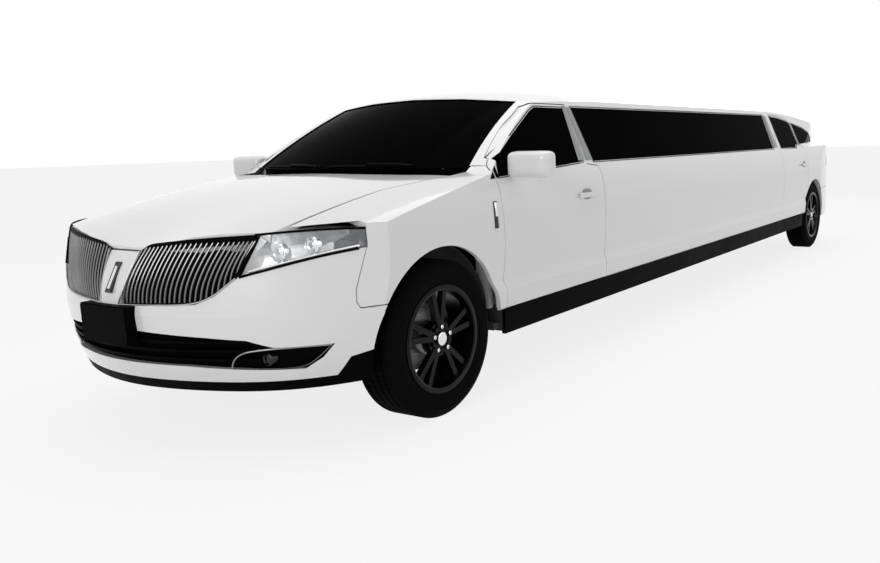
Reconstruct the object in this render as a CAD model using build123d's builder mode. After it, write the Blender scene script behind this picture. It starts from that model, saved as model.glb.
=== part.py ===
from build123d import *
import os
from math import radians, sin, cos, tan, sqrt

os.makedirs("parts", exist_ok=True)

# ---------------------------------------------------------------- driving dimensions (mm)
wheelbase = 6551
front_overhang = 1000
rear_overhang = 1248
plate_stand = 30            # plate face ahead of the bumper
ground_clearance = 288
belt_height = 1140
drip_height = 1485
roof_height = 1592
half_width = 962            # at the lower crease
wall = 60                   # door and body side, skin to lining
shut_gap = 5
hood_skin = 22
glass_thickness = 6
glass_inset = 5             # glass behind the painted skin

length = plate_stand + front_overhang + wheelbase + rear_overhang
front_axle = -length / 2 + plate_stand + front_overhang
rear_axle = wheelbase       # stations are measured rearward from the front axle

# drawing planes: side view (station, z), top view (x, station), front view (x, z)
side_view = Plane(origin=(0, front_axle, 0), x_dir=(0, 1, 0), z_dir=(1, 0, 0))
top_view = Plane(origin=(0, front_axle, 0), x_dir=(1, 0, 0), z_dir=(0, 0, 1))
front_view = Plane(origin=(0, front_axle, 0), x_dir=(1, 0, 0), z_dir=(0, -1, 0))


# ---------------------------------------------------------------- outer form
def nose_station(x):
    return -front_overhang + 0.00045 * x * x + 0.0022 * max(0, x - 650) ** 2


def tail_station(x):
    return rear_axle + rear_overhang - 0.00020 * x * x - 0.0012 * max(0, x - 650) ** 2


# hood edge and crown heights at each lofted section
# x, hood front edge z, hood middle z, cowl z
hood_sections = [
    (0, 872, 1081, 1140),
    (350, 914, 1077, 1140),
    (650, 936, 1065, 1136),
    (850, 944, 1050, 1124),
    (985, 930, 1028, 1096),
]


def lower_body(inset):
    with BuildPart() as body:
        rows = [(-x, a, b, c) for x, a, b, c in reversed(hood_sections[1:])] + hood_sections
        for x, edge_z, mid_z, cowl_z in rows:
            nose = nose_station(abs(x)) + inset
            tail = tail_station(abs(x)) - inset
            lean = 115 - 0.09 * abs(x)
            low = ground_clearance + inset
            with BuildSketch(side_view.offset(x)):
                with BuildLine():
                    Polyline((tail - 60, low + 42), (tail - 700, low), (nose + 75, low))
                    ThreePointArc((nose + 75, low), (nose + 20, 450), (nose, 610))
                    ThreePointArc((nose, 610), (nose + 0.35 * lean, 760),
                                  (nose + lean, edge_z - inset))
                    ThreePointArc((nose + lean, edge_z - inset), ((nose + lean + 450) / 2, mid_z - inset),
                                  (450, cowl_z - inset))
                    Line((450, cowl_z - inset), (tail - 330, belt_height - inset))
                    ThreePointArc((tail - 330, belt_height - inset), (tail - 95, 930), (tail, 640))
                    ThreePointArc((tail, 640), (tail - 8, 480), (tail - 60, low + 42))
                make_face()
        loft()
    return body.part


def greenhouse(inset):
    with BuildPart() as body:
        for x in (-930, -780, -600, -320, 0, 320, 600, 780, 930):
            base = 200 + 146 * (x / 781) ** 2 + inset
            top = 985 + 80 * (x / 660) ** 2 + inset
            top_z = roof_height - 52 - 40 * (x / 660) ** 2 - inset
            crown = roof_height - 79 * (x / 742) ** 2 - inset
            tail = tail_station(abs(x)) - inset
            sunk = belt_height - 60 - inset
            with BuildSketch(side_view.offset(x)):
                with BuildLine():
                    ThreePointArc((base, sunk), ((base + top) / 2 - 10, (sunk + top_z) / 2 + 24),
                                  (top, top_z))
                    ThreePointArc((top, top_z), (top + 380, crown - 7), (1900, crown))
                    Line((1900, crown), (4900, crown))
                    ThreePointArc((4900, crown), (6000, crown - 28), (6900, crown - 95))
                    Line((6900, crown - 95), (tail - 330, sunk))
                    Line((tail - 330, sunk), (base, sunk))
                make_face()
        loft()
        with BuildSketch(top_view):
            with BuildLine():
                Polyline((930 - inset, 5700), (930 - inset, 0), (-930 + inset, 0), (-930 + inset, 5700))
                ThreePointArc((-930 + inset, 5700), (-870 + inset, 6500), (-700 + inset, 7350))
                Polyline((-700 + inset, 7350), (-700 + inset, 8000), (700 - inset, 8000), (700 - inset, 7350))
                ThreePointArc((700 - inset, 7350), (870 - inset, 6500), (930 - inset, 5700))
            make_face()
        extrude(amount=2000, mode=Mode.INTERSECT)
    return body.part


def cross_section(inset):
    """The front-view section carried the whole length: barrel sides, lower crease, tumblehome."""
    with BuildPart() as body:
        with BuildSketch(front_view.offset(2000)):
            with BuildLine():
                Polyline((0, 200), (930 - inset, 200), (938 - inset, 415), (958 - inset, 432),
                         (half_width - inset, 520), (946 - inset, 576))
                ThreePointArc((946 - inset, 576), (half_width - 1 - inset, 800), (950 - inset, 1005))
                ThreePointArc((950 - inset, 1005), (933 - inset, 1078), (903 - inset, belt_height))
                Polyline((903 - inset, belt_height), (757 - inset, drip_height), (742 - inset, drip_height + 26),
                         (560 - inset, 1700), (0, 1700), (0, 200))
            make_face()
            mirror(about=Plane.YZ)
        extrude(amount=-12000)
    return body.part


def body_plan(inset):
    with BuildPart() as body:
        with BuildSketch(top_view):
            with BuildLine():
                Polyline((985 - inset, 6100), (985 - inset, -1500), (-985 + inset, -1500), (-985 + inset, 6100))
                ThreePointArc((-985 + inset, 6100), (-950 + inset, 6900), (-820 + inset, 7650))
                Polyline((-820 + inset, 7650), (-820 + inset, 8200), (820 - inset, 8200), (820 - inset, 7650))
                ThreePointArc((820 - inset, 7650), (950 - inset, 6900), (985 - inset, 6100))
            make_face()
        extrude(amount=2000)
    return body.part


def hull(inset):
    section = cross_section(inset)
    lower = lower_body(inset) & section & body_plan(inset)
    upper = greenhouse(inset) & section
    return lower + upper


def prism(plane, points, start, end):
    """A flat outline drawn on a plane and carried from start to end along its normal."""
    with BuildPart() as tool:
        with BuildSketch(plane.offset(start)):
            with BuildLine():
                Polyline(*points, close=True)
            make_face()
        extrude(amount=end - start)
    return tool.part


def rod(plane, station, height, radius, start, end):
    """A round bar or cutter along a plane's normal."""
    with BuildPart() as tool:
        with BuildSketch(plane.offset(start)):
            with Locations((station, height)):
                Circle(radius)
        extrude(amount=end - start)
    return tool.part


def block(x_range, s_range, z_range):
    """A box given by its limits across, along (station) and up."""
    with BuildPart() as tool:
        with BuildSketch(top_view.offset(z_range[0])):
            with Locations(((x_range[0] + x_range[1]) / 2, (s_range[0] + s_range[1]) / 2)):
                Rectangle(x_range[1] - x_range[0], s_range[1] - s_range[0])
        extrude(amount=z_range[1] - z_range[0])
    return tool.part


def write(name, shape):
    """Label a finished piece and write it."""
    with BuildPart() as piece:
        add(shape)
    piece.part.label = name
    export_step(piece.part, "parts/" + name + ".step")
    print(name, len(piece.part.solids()), round(piece.part.volume / 1e6, 2))


def mirrored(shape):
    return mirror(shape, about=Plane.YZ, mode=Mode.PRIVATE)


outer = hull(0)
panel_shell = outer - hull(wall)
under_skin = hull(hood_skin)
skin_shell = outer - under_skin
glass_shell = hull(glass_inset) - hull(glass_inset + glass_thickness)
left_half = block((0, 1100), (-1200, 8200), (200, 1700))
panel_left = panel_shell & left_half
skin_left = skin_shell & left_half
glass_left = glass_shell & left_half

# ---------------------------------------------------------------- shut lines
wheel_radius = 370.5
tyre_width = 235
track_half = 830
front_arch = 436
rear_arch = 402
arch_inner = 500            # inner wall of the wheel arches
tub_outer = 884             # outer rim of the rear wheel tubs
hinge_x = 912               # door hinge axis, inboard of the skin
hinge_sweep = 64            # rounded front edge of each door about its hinge
sill_top = 425
door_bottom = sill_top + shut_gap
seat = 0.3                  # clearance where pieces of one body meet

front_hinge = 535
front_door_rear = 1560
front_frame_rear = 1437
rear_hinge = 5405
rear_door_rear = 6275
rear_frame_rear = 6100
door_top = 1481
rear_door_top = 1472
rear_swing_end = 5560       # the rear door's front corner swings out ahead of this station
frame_relief = 18           # the inner layer of each rear frame edge stands this far short

front_door_outline = [
    (front_hinge - 80, door_bottom), (front_door_rear, door_bottom), (front_door_rear + 6, 1000),
    (front_door_rear, 1112), (front_frame_rear, 1126), (front_frame_rear, door_top),
    (1078, door_top), (1010, 1460), (740, 1326), (520, 1210), (472, 1150), (front_hinge - 80, 1120),
]
front_glass_outline = [
    (500, 1096), (1345, 1141), (1400, 1146), (1412, 1461), (1090, 1461), (1025, 1437),
    (750, 1300), (540, 1188),
]
rear_door_outline = [
    (rear_hinge - 80, door_bottom), (6050, door_bottom), (6080, 480), (6108, 560), (6150, 640),
    (6205, 710), (rear_door_rear, 770), (rear_door_rear + 8, 1000), (rear_door_rear - 10, 1125),
    (rear_frame_rear + 8, 1160), (rear_frame_rear - 10, 1400), (5960, 1440), (5700, 1466),
    (rear_swing_end, rear_door_top), (rear_hinge - 80, rear_door_top),
]
rear_glass_outline = [
    (5432, 1141), (5970, 1136), (6000, 1168), (6078, 1170), (6064, 1388), (5950, 1416),
    (5700, 1443), (5432, 1458),
]
front_relief_outline = [
    (front_frame_rear - frame_relief, 1128), (front_frame_rear + 1, 1128),
    (front_frame_rear + 1, door_top + 1), (front_frame_rear - frame_relief, door_top + 1),
]
rear_relief_outline = [
    (rear_frame_rear + 8 - frame_relief, 1161), (rear_frame_rear + 9, 1161), (rear_frame_rear - 9, 1402),
    (5961, 1442), (5955, 1424), (rear_frame_rear - 10 - frame_relief, 1386),
]
long_glass_outline = [(1532, 1142), (5178, 1142), (5225, 1468), (1500, 1468)]
quarter_glass_outline = [(6130, 1172), (6900, 1190), (6850, 1235), (6500, 1340), (6124, 1392)]


def side_prism(points):
    return prism(side_view, points, 0, 1100)


def side_band(extra):
    """The part of the body that doors can take: the side wall's own thickness and a margin."""
    inner = wall + extra
    return prism(front_view, [(1100, 300), (1100, 1700), (700, 1700), (742 - inner, drip_height + 26),
                              (757 - inner, drip_height), (903 - inner, belt_height), (890 - inner, 300)],
                 -8200, 1200)


front_sweep = rod(top_view, hinge_x, front_hinge, hinge_sweep, 200, 1600)
front_sweep_clear = rod(top_view, hinge_x, front_hinge, hinge_sweep + shut_gap, 200, 1600)
rear_sweep = rod(top_view, hinge_x, rear_hinge, hinge_sweep, 200, 1600)
rear_sweep_clear = rod(top_view, hinge_x, rear_hinge, hinge_sweep + shut_gap, 200, 1600)


def offset_outline(points, gap):
    with BuildSketch() as flat:
        with BuildLine():
            Polyline(*points, close=True)
        make_face()
        offset(amount=gap, kind=Kind.INTERSECTION)
    return flat.sketch


def prism_of(plane, outline, start, end):
    with BuildPart() as tool:
        with BuildSketch(plane.offset(start)):
            add(outline)
        extrude(amount=end - start)
    return tool.part


def side_cut(points, gap):
    """The outline grown by a gap, as a cutter through the left side."""
    return prism_of(side_view, offset_outline(points, gap), 0, 1100) & side_band(shut_gap)


# ---------------------------------------------------------------- doors
door_specs = [
    # name, outline, glass outline, rear frame relief, hinge station, rounded front edge
    ("front", front_door_outline, front_glass_outline, front_relief_outline, front_hinge, front_sweep),
    ("rear", rear_door_outline, rear_glass_outline, rear_relief_outline, rear_hinge, rear_sweep),
]
hinge_heights = (560, 900)
hinge_plate = 12
hinge_pin = 6
pin_clearance = 0.3
pocket = 17
pin_reach = 30
for name, outline, glass, relief, hinge, sweep in door_specs:
    ahead = block((0, 1100), (hinge - 90, hinge), (200, 1600))
    door = (panel_left & side_prism(outline) & side_band(1)) - (ahead - sweep)
    door = door - side_prism(glass) - (under_skin & side_prism(relief))
    for z in hinge_heights:
        slot = block((hinge_x - 80, hinge_x + pocket), (hinge - 80, hinge + pocket),
                     (z - shut_gap, z + hinge_plate + shut_gap))
        bore = rod(top_view, hinge_x, hinge, hinge_pin + pin_clearance,
                   z - pin_reach, z + hinge_plate + pin_reach)
        door = door - slot - bore
    write(name + "_door_left", door)
    write(name + "_door_right", mirrored(door))
    pane = glass_left & side_prism(glass) & side_band(1)
    write(name + "_door_glass_left", pane)
    write(name + "_door_glass_right", mirrored(pane))


def front_prism(points, start, end):
    """A front-view outline carried between two stations."""
    return prism(front_view, points, -end, -start)


def top_prism(points, low, high):
    return prism(top_view, points, low, high)


def both_sides(points):
    """A left-hand front-view outline and its mirror image, closed into one outline."""
    return points + [(-x, z) for x, z in reversed(points) if x > 0]


def hood_edge_station(x):
    return nose_station(abs(x)) + 115 - 0.09 * abs(x)


# ---------------------------------------------------------------- glass and lamp openings
windshield_outline = [(783, 1146), (668, 1497), (340, 1522), (0, 1531)]
tailgate_outline = [(640, 664), (655, 900), (640, 1140), (548, 1520)]
tail_glass_outline = [(565, 1185), (497, 1400)]
gate_relief = 14            # the tailgate's inner layer is this much narrower each side
roof_rear = 6888
roof_half = 735
grille_outline = [
    (58, 648), (436, 660), (512, 694), (558, 734), (592, 763), (662, 950), (490, 945),
    (315, 935), (172, 915), (112, 885), (104, 866),
]
lamp_outline = [(600, 766), (759, 814), (841, 839), (919, 855), (1000, 872), (1000, 970), (670, 950)]
lamp_rear = -433
intake_outline = [
    (0, 548), (157, 546), (465, 527), (614, 513), (696, 478), (846, 472), (814, 419),
    (765, 378), (526, 391), (345, 401), (0, 403),
]
grille = front_prism(grille_outline, -1200, -500)
grille_pair = grille + mirrored(grille)
lamp = front_prism(lamp_outline, -1200, lamp_rear)
lamp_pair = lamp + mirrored(lamp)
intake = front_prism(both_sides(intake_outline), -1200, -520)
windshield_cut = front_prism(both_sides(windshield_outline), 0, 1300)
roof_region = top_prism([(-roof_half, 1112), (-668, 1062), (-640, 900), (640, 900), (668, 1062),
                         (roof_half, 1112), (roof_half, roof_rear), (-roof_half, roof_rear)], 1350, 1700)
tailgate_region = front_prism(both_sides(tailgate_outline), roof_rear + 10, 8200)
tailgate_core = front_prism(both_sides([(x - gate_relief, z) for x, z in tailgate_outline]),
                            roof_rear + 10, 8200)
tailgate_clear = front_prism(both_sides([(646, 600)] + [(x + shut_gap + 1, z) for x, z in tailgate_outline]),
                             roof_rear, 8200)
tail_lamp_band = front_prism(both_sides([(1000, 902), (1000, 1004)]), 7250, 8200)
front_wheel_cut = rod(side_view, 0, wheel_radius, front_arch, arch_inner, 1100)
rear_wheel_cut = rod(side_view, rear_axle, wheel_radius, rear_arch, arch_inner, 1100)

# ---------------------------------------------------------------- body sides and roof
side_outline = [
    (280, 1156), (488, 1156), (488, sill_top + seat), (rear_axle, sill_top + seat),
    (rear_axle, 655), (8100, 655), (8100, 1660), (280, 1660),
]
body_side = panel_left & side_prism(side_outline)
for outline, hinge, clear in ((front_door_outline, front_hinge, front_sweep_clear),
                              (rear_door_outline, rear_hinge, rear_sweep_clear)):
    body_side = body_side - (side_cut(outline, shut_gap)
                             - (block((0, 1100), (hinge - 200, hinge - shut_gap), (0, 1700)) - clear))
body_side = body_side - side_prism(long_glass_outline) - side_prism(quarter_glass_outline)
body_side = body_side - windshield_cut - roof_region - tailgate_clear - tail_lamp_band - rear_wheel_cut
body_side = body_side - block((0, 778), (400, 800), (400, 1156))
pillar_x = (800, 872)
for hinge, clear in ((front_hinge, front_sweep_clear), (rear_hinge, rear_sweep_clear)):
    post = block(pillar_x, (hinge - 90, hinge + 40), (sill_top + seat, 1090)) - clear
    body_side = body_side + post
    for z in hinge_heights:
        plate = block((pillar_x[0], hinge_x), (hinge - 10, hinge + 10), (z, z + hinge_plate))
        pin = rod(top_view, hinge_x, hinge, hinge_pin, z - pin_reach + 2, z + hinge_plate + pin_reach - 2)
        body_side = body_side + plate + pin
write("body_side_left", body_side)
write("body_side_right", mirrored(body_side))
roof = (panel_shell & roof_region) - windshield_cut
for outline in (front_door_outline, rear_door_outline):
    door_room = side_cut(outline, shut_gap)
    roof = roof - door_room - mirrored(door_room)
gate_pin_s = roof_rear + 24
gate_pin_z = 1466
gate_pin_r = 6
gate_pin_half = 50
gate_lug_r = 12
gate_lug_half = 10
gate_lug_x = 200
# near x, far x, radius about the tailgate's axis kept free for its top edge
gate_swing = ((0, 200, 39), (200, 330, 34), (330, 470, 26))
for near, far, radius in gate_swing:
    for x in (near, -far):
        roof = roof - rod(side_view, gate_pin_s, gate_pin_z, radius, x, x + far - near)
for x in (gate_lug_x, -gate_lug_x):
    lug_range = (x - gate_lug_half, x + gate_lug_half)
    lug = block(lug_range, (gate_pin_s - 52, gate_pin_s), (gate_pin_z - gate_lug_r, gate_pin_z + gate_lug_r))
    lug = lug + rod(side_view, gate_pin_s, gate_pin_z, gate_lug_r, *lug_range)
    pin = rod(side_view, gate_pin_s, gate_pin_z, gate_pin_r, x - gate_pin_half, x + gate_pin_half)
    roof = roof + lug + pin
write("roof", roof)
write("windshield", glass_shell & windshield_cut & block((-900, 900), (0, 1300), (1100, 1600)))
long_glass = glass_left & side_prism(long_glass_outline)
quarter_glass = glass_left & side_prism(quarter_glass_outline)
fixed_glass = long_glass + quarter_glass
write("side_windows", fixed_glass + mirrored(fixed_glass))

# ---------------------------------------------------------------- tailgate, rear bumper, tail lamps
gate = (panel_shell & tailgate_region) - (under_skin & (tailgate_clear - tailgate_core))
gate_window = front_prism(both_sides(tail_glass_outline), roof_rear, 8200)
lamp_bar = (outer - hull(hood_skin - seat)) & tailgate_region & tail_lamp_band
gate = gate - gate_window - (skin_shell & tailgate_region & tail_lamp_band)
lug_room = gate_lug_r + shut_gap
for x in (gate_lug_x, -gate_lug_x):
    slot = block((x - gate_lug_half - shut_gap, x + gate_lug_half + shut_gap),
                 (roof_rear, gate_pin_s + lug_room), (gate_pin_z - lug_room, 1520))
    bore = rod(side_view, gate_pin_s, gate_pin_z, gate_pin_r + pin_clearance,
               x - gate_pin_half - shut_gap, x + gate_pin_half + shut_gap)
    gate = gate - slot - bore
write("tailgate", gate)
write("tailgate_glass", glass_shell & gate_window)
write("tailgate_lamp", lamp_bar)
corner_lamp = (panel_left & tail_lamp_band) - tailgate_clear
write("tail_lamps", corner_lamp + mirrored(corner_lamp))
bumper_region = side_prism([(6600, 330), (8100, 330), (8100, 650), (6600, 650)])
rear_bumper = (panel_left & bumper_region) - rear_wheel_cut
rear_bumper = rear_bumper - block((0, tub_outer + seat), (6500, 6980), (0, 700)) - block((0, 850), (6900, 7300), (0, 700))
write("rear_bumper", rear_bumper + mirrored(rear_bumper))

# ---------------------------------------------------------------- hood, fenders, front bumper
hood_front = [(x, hood_edge_station(x)) for x in (690, 560, 420, 280, 140, 0)]
hood_outline = (hood_front[::-1] + [(700, -100), (778, 288), (520, 205), (260, 158), (0, 142)])
bumper_top = 857
hood_pin_s = 272
hood_pin_z = 1090
hood_pin_r = 4
hood = skin_shell & top_prism(both_sides(hood_outline), bumper_top + shut_gap, 1300)
hood_clear = prism_of(top_view, offset_outline(both_sides(hood_outline), shut_gap), bumper_top, 1300)
for x in (715, -800):
    hood = hood - rod(side_view, hood_pin_s, hood_pin_z, hood_pin_r + pin_clearance, x, x + 85)
write("hood", hood)
fender_outline = [
    (-440, 1156), (-800, 1156), (-800, 900), (lamp_rear + 3, 880), (-440, 841), (-489, 684), (-491, 631),
    (-480, 608), (-378, 607), (-290, 607), (-290, sill_top + seat), (486, sill_top + seat), (486, 1152),
]
fender_top = top_prism([(706, -1100), (706, -715), (706, -100), (786, 293), (800, 1000), (1100, 1000),
                        (1100, -1100)], 200, 1400)
fender = (skin_left & side_prism(fender_outline) & fender_top) - lamp - front_wheel_cut
fender = fender - (block((0, 1100), (front_hinge - 100, 800), (0, 1700)) & front_sweep_clear)
fender = fender - windshield_cut
fender = fender + rod(side_view, hood_pin_s, hood_pin_z, hood_pin_r, 725, 800)
write("front_fenders", fender + mirrored(fender))
bumper_shell = (outer - hull(30)) & block((-1100, 1100), (-1200, -300), (200, 1000))
bumper_outline = [
    (-1200, 332), (-562, 332), (-519, 405), (-437, 420), (-300, 420), (-300, 601), (-482, 603),
    (-497, 629), (-495, 684), (-444, 841), (-440, bumper_top), (-1200, bumper_top),
]
bumper = bumper_shell & (side_prism(bumper_outline) + mirrored(side_prism(bumper_outline)))
under = block((-arch_inner, arch_inner), (-620, -200), (200, 420))
bumper = bumper - grille_pair - lamp_pair - intake - front_wheel_cut - mirrored(front_wheel_cut) - under
write("front_bumper", bumper)
lip_outline = [(-1200, 280), (-300, 280), (-300, 416), (-437, 416), (-521, 401), (-564, 328), (-1200, 328)]
lip = bumper_shell & (side_prism(lip_outline) + mirrored(side_prism(lip_outline)))
write("front_lip", lip - front_wheel_cut - mirrored(front_wheel_cut) - under)
headlamps = panel_shell & lamp_pair & block((-1000, 1000), (-1200, lamp_rear - 3), (700, 940))
write("headlamps", headlamps - hood_clear)
slat_pitch = 23
slat_width = 9
slat_inset = 5
slat_depth = 26
backing = 14


def edge_height(x):
    """Height of the hood's front edge at x, between the lofted sections."""
    for near, far in zip(hood_sections, hood_sections[1:]):
        if x <= far[0]:
            return near[1] + (far[1] - near[1]) * (x - near[0]) / (far[0] - near[0])
    return hood_sections[-1][1]


def nose_face(x, z):
    """Station of the nose's skin above the bumper crease."""
    rise = (z - 610) / (edge_height(x) - 610)
    return nose_station(x) + (115 - 0.09 * x) * (0.9 * rise * rise + 0.1 * rise)


def outline_limits(points, x):
    """Lowest and highest z of a front-view outline at x."""
    heights = []
    for (x0, z0), (x1, z1) in zip(points, points[1:] + points[:1]):
        if (x0 - x) * (x1 - x) <= 0 and x0 != x1:
            heights.append(z0 + (z1 - z0) * (x - x0) / (x1 - x0))
    return min(heights), max(heights)


def band(reach, front, back, low, high, rake):
    """A strip that follows the nose's plan curve, leaning back by the rake as it rises."""
    across = [-reach + reach * k / 12 for k in range(25)]
    with BuildPart() as strip:
        with BuildSketch(top_view.offset(low)):
            with BuildLine():
                ahead = Spline(*[(x, nose_station(abs(x)) + front) for x in across])
                behind = Spline(*[(x, nose_station(abs(x)) + back) for x in across])
                Line(ahead @ 0, behind @ 0)
                Line(ahead @ 1, behind @ 1)
            make_face()
        extrude(amount=high - low, dir=(0, rake, 1))
    return strip.part


grille_wing = [(62, 652), (434, 664), (510, 698), (555, 737), (590, 767), (657, 931), (490, 917),
               (315, 903), (172, 885), (118, 866), (108, 862)]
wing_rake = 0.31
wing_foot = 600


def wing_back_station(x, z):
    """Just inside the backing plate, where the slats end."""
    return nose_station(x) + slat_depth + wing_rake * (z - wing_foot) + 4


wing_back = band(690, slat_depth, slat_depth + backing, wing_foot, 960, wing_rake)
grilles = wing_back & front_prism(grille_wing, -1200, -500)
for i in range(26):
    x = 74 + slat_pitch * i
    if x > 640:
        break
    low, high = outline_limits(grille_wing, x)
    steps = [low + (high - low) * k / 4 for k in range(5)]
    with BuildPart() as slat:
        with BuildSketch(side_view.offset(x - slat_width / 2)):
            with BuildLine():
                face = Polyline(*[(nose_face(x, z) + slat_inset, z) for z in steps])
                Polyline(face @ 1, (hood_edge_station(x) - 2, high), (hood_edge_station(x) - 2, high - 30),
                         (wing_back_station(x, high - 30), high - 30),
                         (wing_back_station(x, low), low), face @ 0)
            make_face()
        extrude(amount=slat_width)
    grilles = grilles + (slat.part & front_prism(grille_wing, -1200, -500))
grilles = grilles - hood_clear
write("grilles", grilles + mirrored(grilles))


def chin_face(z):
    """How far the skin falls back behind the nose curve below the bumper crease."""
    return 75 * ((610 - z) / 322) ** 2


intake_panel = band(890, chin_face(370) + 25, chin_face(370) + 42, 370, 560, -0.21)
for z in (425, 462, 499):
    intake_panel = intake_panel + band(640, chin_face(z) + 5, chin_face(z) + 32, z, z + 11, -0.15)
intake_edge = prism_of(front_view, offset_outline(both_sides(intake_outline), -seat), 500, 1200)
write("front_intake", intake_panel & intake_edge)


# ---------------------------------------------------------------- wheels
tyre_bore = 241.3           # 19 inch bead seat
tyre_side = 100             # half width at the bead
bead_top = 257
rim_wall = 12
hub_face = 868              # wheel bolting face
spoke_face = 922
spindle_r = 28
spindle_clearance = 0.3
disc_x = (742, 766)
disc_r = 165
hat_r = 82
lug_circle = 57.15
lug_r = 11
spoke_count = 5


def wheel_plane(station, x=0):
    return Plane(origin=(x, front_axle + station, wheel_radius), x_dir=(0, 1, 0), z_dir=(1, 0, 0))


def axle_line(station):
    return Axis((0, front_axle + station, wheel_radius), (1, 0, 0))


def radial(station):
    """Plane through the wheel's axis: x across, radius toward the rear."""
    return Plane(origin=(0, front_axle + station, wheel_radius), x_dir=(1, 0, 0), z_dir=(0, 0, 1))


def tyre(station):
    half = tyre_width / 2
    with BuildPart() as ring:
        with BuildSketch(radial(station)):
            with BuildLine():
                Polyline((track_half - tyre_side, bead_top), (track_half - tyre_side, tyre_bore),
                         (track_half + tyre_side, tyre_bore), (track_half + tyre_side, bead_top))
                ThreePointArc((track_half + tyre_side, bead_top), (track_half + half, 305),
                              (track_half + half - 12, 350))
                ThreePointArc((track_half + half - 12, 350), (track_half + half - 21, 363),
                              (track_half + half - 38, 367.5))
                ThreePointArc((track_half + half - 38, 367.5), (track_half, wheel_radius),
                              (track_half - half + 38, 367.5))
                ThreePointArc((track_half - half + 38, 367.5), (track_half - half + 21, 363),
                              (track_half - half + 12, 350))
                ThreePointArc((track_half - half + 12, 350), (track_half - half, 305),
                              (track_half - tyre_side, bead_top))
            make_face()
        revolve(axis=axle_line(station))
    return ring.part


def rim(station):
    seat_r = tyre_bore - seat
    left = track_half - tyre_side
    right = track_half + tyre_side
    with BuildPart() as wheel:
        with BuildSketch(radial(station)):
            with BuildLine():
                Polyline((left, seat_r), (left, seat_r + 14), (left - 7, seat_r + 14), (left - 9, seat_r - 4),
                         (left + 4, seat_r - rim_wall), (left + 60, seat_r - rim_wall - 8),
                         (right - 30, seat_r - rim_wall - 8), (right + 6, seat_r - rim_wall),
                         (right + 9, seat_r - 4), (right + 7, seat_r + 14), (right, seat_r + 14),
                         (right, seat_r), (left, seat_r))
            make_face()
        revolve(axis=axle_line(station))
        with BuildSketch(wheel_plane(station, hub_face + seat)):
            Circle(hat_r)
        extrude(amount=spoke_face - 8 - hub_face)
        with BuildSketch(wheel_plane(station, hub_face + 22)):
            for k in range(spoke_count):
                for lean in (-1, 1):
                    with Locations(Rot(0, 0, 90 + 72 * k + 13 * lean)):
                        with Locations((145, -9 * lean)):
                            Rectangle(180, 26, rotation=-2 * lean)
        extrude(amount=spoke_face - hub_face - 22)
        with BuildSketch(wheel_plane(station, spoke_face - 8)):
            Circle(34)
        extrude(amount=8)
        with BuildSketch(wheel_plane(station, spoke_face - 8)):
            with PolarLocations(lug_circle, spoke_count, start_angle=54):
                Circle(lug_r)
        extrude(amount=12)
    return wheel.part


def brake_disc(station):
    with BuildPart() as disc:
        with BuildSketch(wheel_plane(station, disc_x[0])):
            Circle(disc_r)
        extrude(amount=disc_x[1] - disc_x[0])
        with BuildSketch(wheel_plane(station, disc_x[1])):
            Circle(hat_r)
        extrude(amount=hub_face - disc_x[1])
        with BuildSketch(wheel_plane(station, disc_x[0])):
            Circle(spindle_r + spindle_clearance)
        extrude(amount=hub_face - 6 - disc_x[0], mode=Mode.SUBTRACT)
    return disc.part


for end, station in (("front", 0), ("rear", rear_axle)):
    for part_name, shape in (("tyre", tyre(station)), ("rim", rim(station)), ("brake_disc", brake_disc(station))):
        write(end + "_" + part_name + "_left", shape)
        write(end + "_" + part_name + "_right", mirrored(shape))

# ---------------------------------------------------------------- knuckles and suspension
floor_z = (312, 345)
rear_floor_z = (582, 600)
rear_step = 6110
kingpin_x = 690
kingpin_r = 12
upright_x = (668, 712)
lower_arm_z = (205, 235)
upper_arm_z = (528, 550)
arm_half = 40
play = 0.3


def spindle(station):
    return rod(wheel_plane(station), 0, 0, spindle_r, upright_x[0], hub_face - 6.3)


def caliper(station):
    body = block((disc_x[0] - 26, disc_x[1] + 24), (station + 100, station + 178), (wheel_radius - 110, wheel_radius + 30))
    slot = block((disc_x[0] - 4, disc_x[1] + 4), (station, station + disc_r + 4), (0, 900))
    hub_room = rod(wheel_plane(station), 0, 0, hat_r + 6, 0, 1100)
    arm = block((upright_x[0], disc_x[0] - 10), (station + 30, station + 140), (wheel_radius - 60, wheel_radius - 20))
    return (body - slot - hub_room) + arm


knuckle = block(upright_x, (-45, 45), (lower_arm_z[1] + play, upper_arm_z[0] - play))
knuckle = knuckle + rod(top_view, kingpin_x, 0, kingpin_r, lower_arm_z[0] - 4, upper_arm_z[1] + 6)
knuckle = knuckle + spindle(0) + caliper(0)
write("knuckle_left", knuckle)
write("knuckle_right", mirrored(knuckle))

arm_end = kingpin_x + 22
kingpin_bore = rod(top_view, kingpin_x, 0, kingpin_r + play, 150, 700)
lower_arm = block((320, arm_end), (-arm_half, arm_half), lower_arm_z) - kingpin_bore
upper_arm = block((arch_inner - 12, arm_end), (-arm_half, arm_half), upper_arm_z) - kingpin_bore
crossmember = block((-330, 330), (-90, 90), (195, 290))
rail_z = (250, 310)
subframe_rail = block((280, 330), (-560, 420), rail_z)
subframe = crossmember + lower_arm + mirrored(lower_arm) + subframe_rail + mirrored(subframe_rail)
write("front_subframe", subframe)

axle_r = 38
beam = rod(wheel_plane(rear_axle), 0, 0, axle_r, -upright_x[0], upright_x[0])
hub_left = spindle(rear_axle) + caliper(rear_axle)
trailing = block((430, 480), (rear_step + seat, rear_axle + 10), (315, 345))
spring = rod(top_view, 455, rear_axle, 55, 345, rear_floor_z[0] - seat)
rear_side = hub_left + trailing + spring
write("rear_suspension", beam + rear_side + mirrored(rear_side))

# ---------------------------------------------------------------- floor, sills and firewall
tub_wall = 6
sill_x = (800, 912)
firewall_s = (272, 288)
tunnel_half = 110
tunnel_top = 450
tunnel_skin = 10

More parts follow.
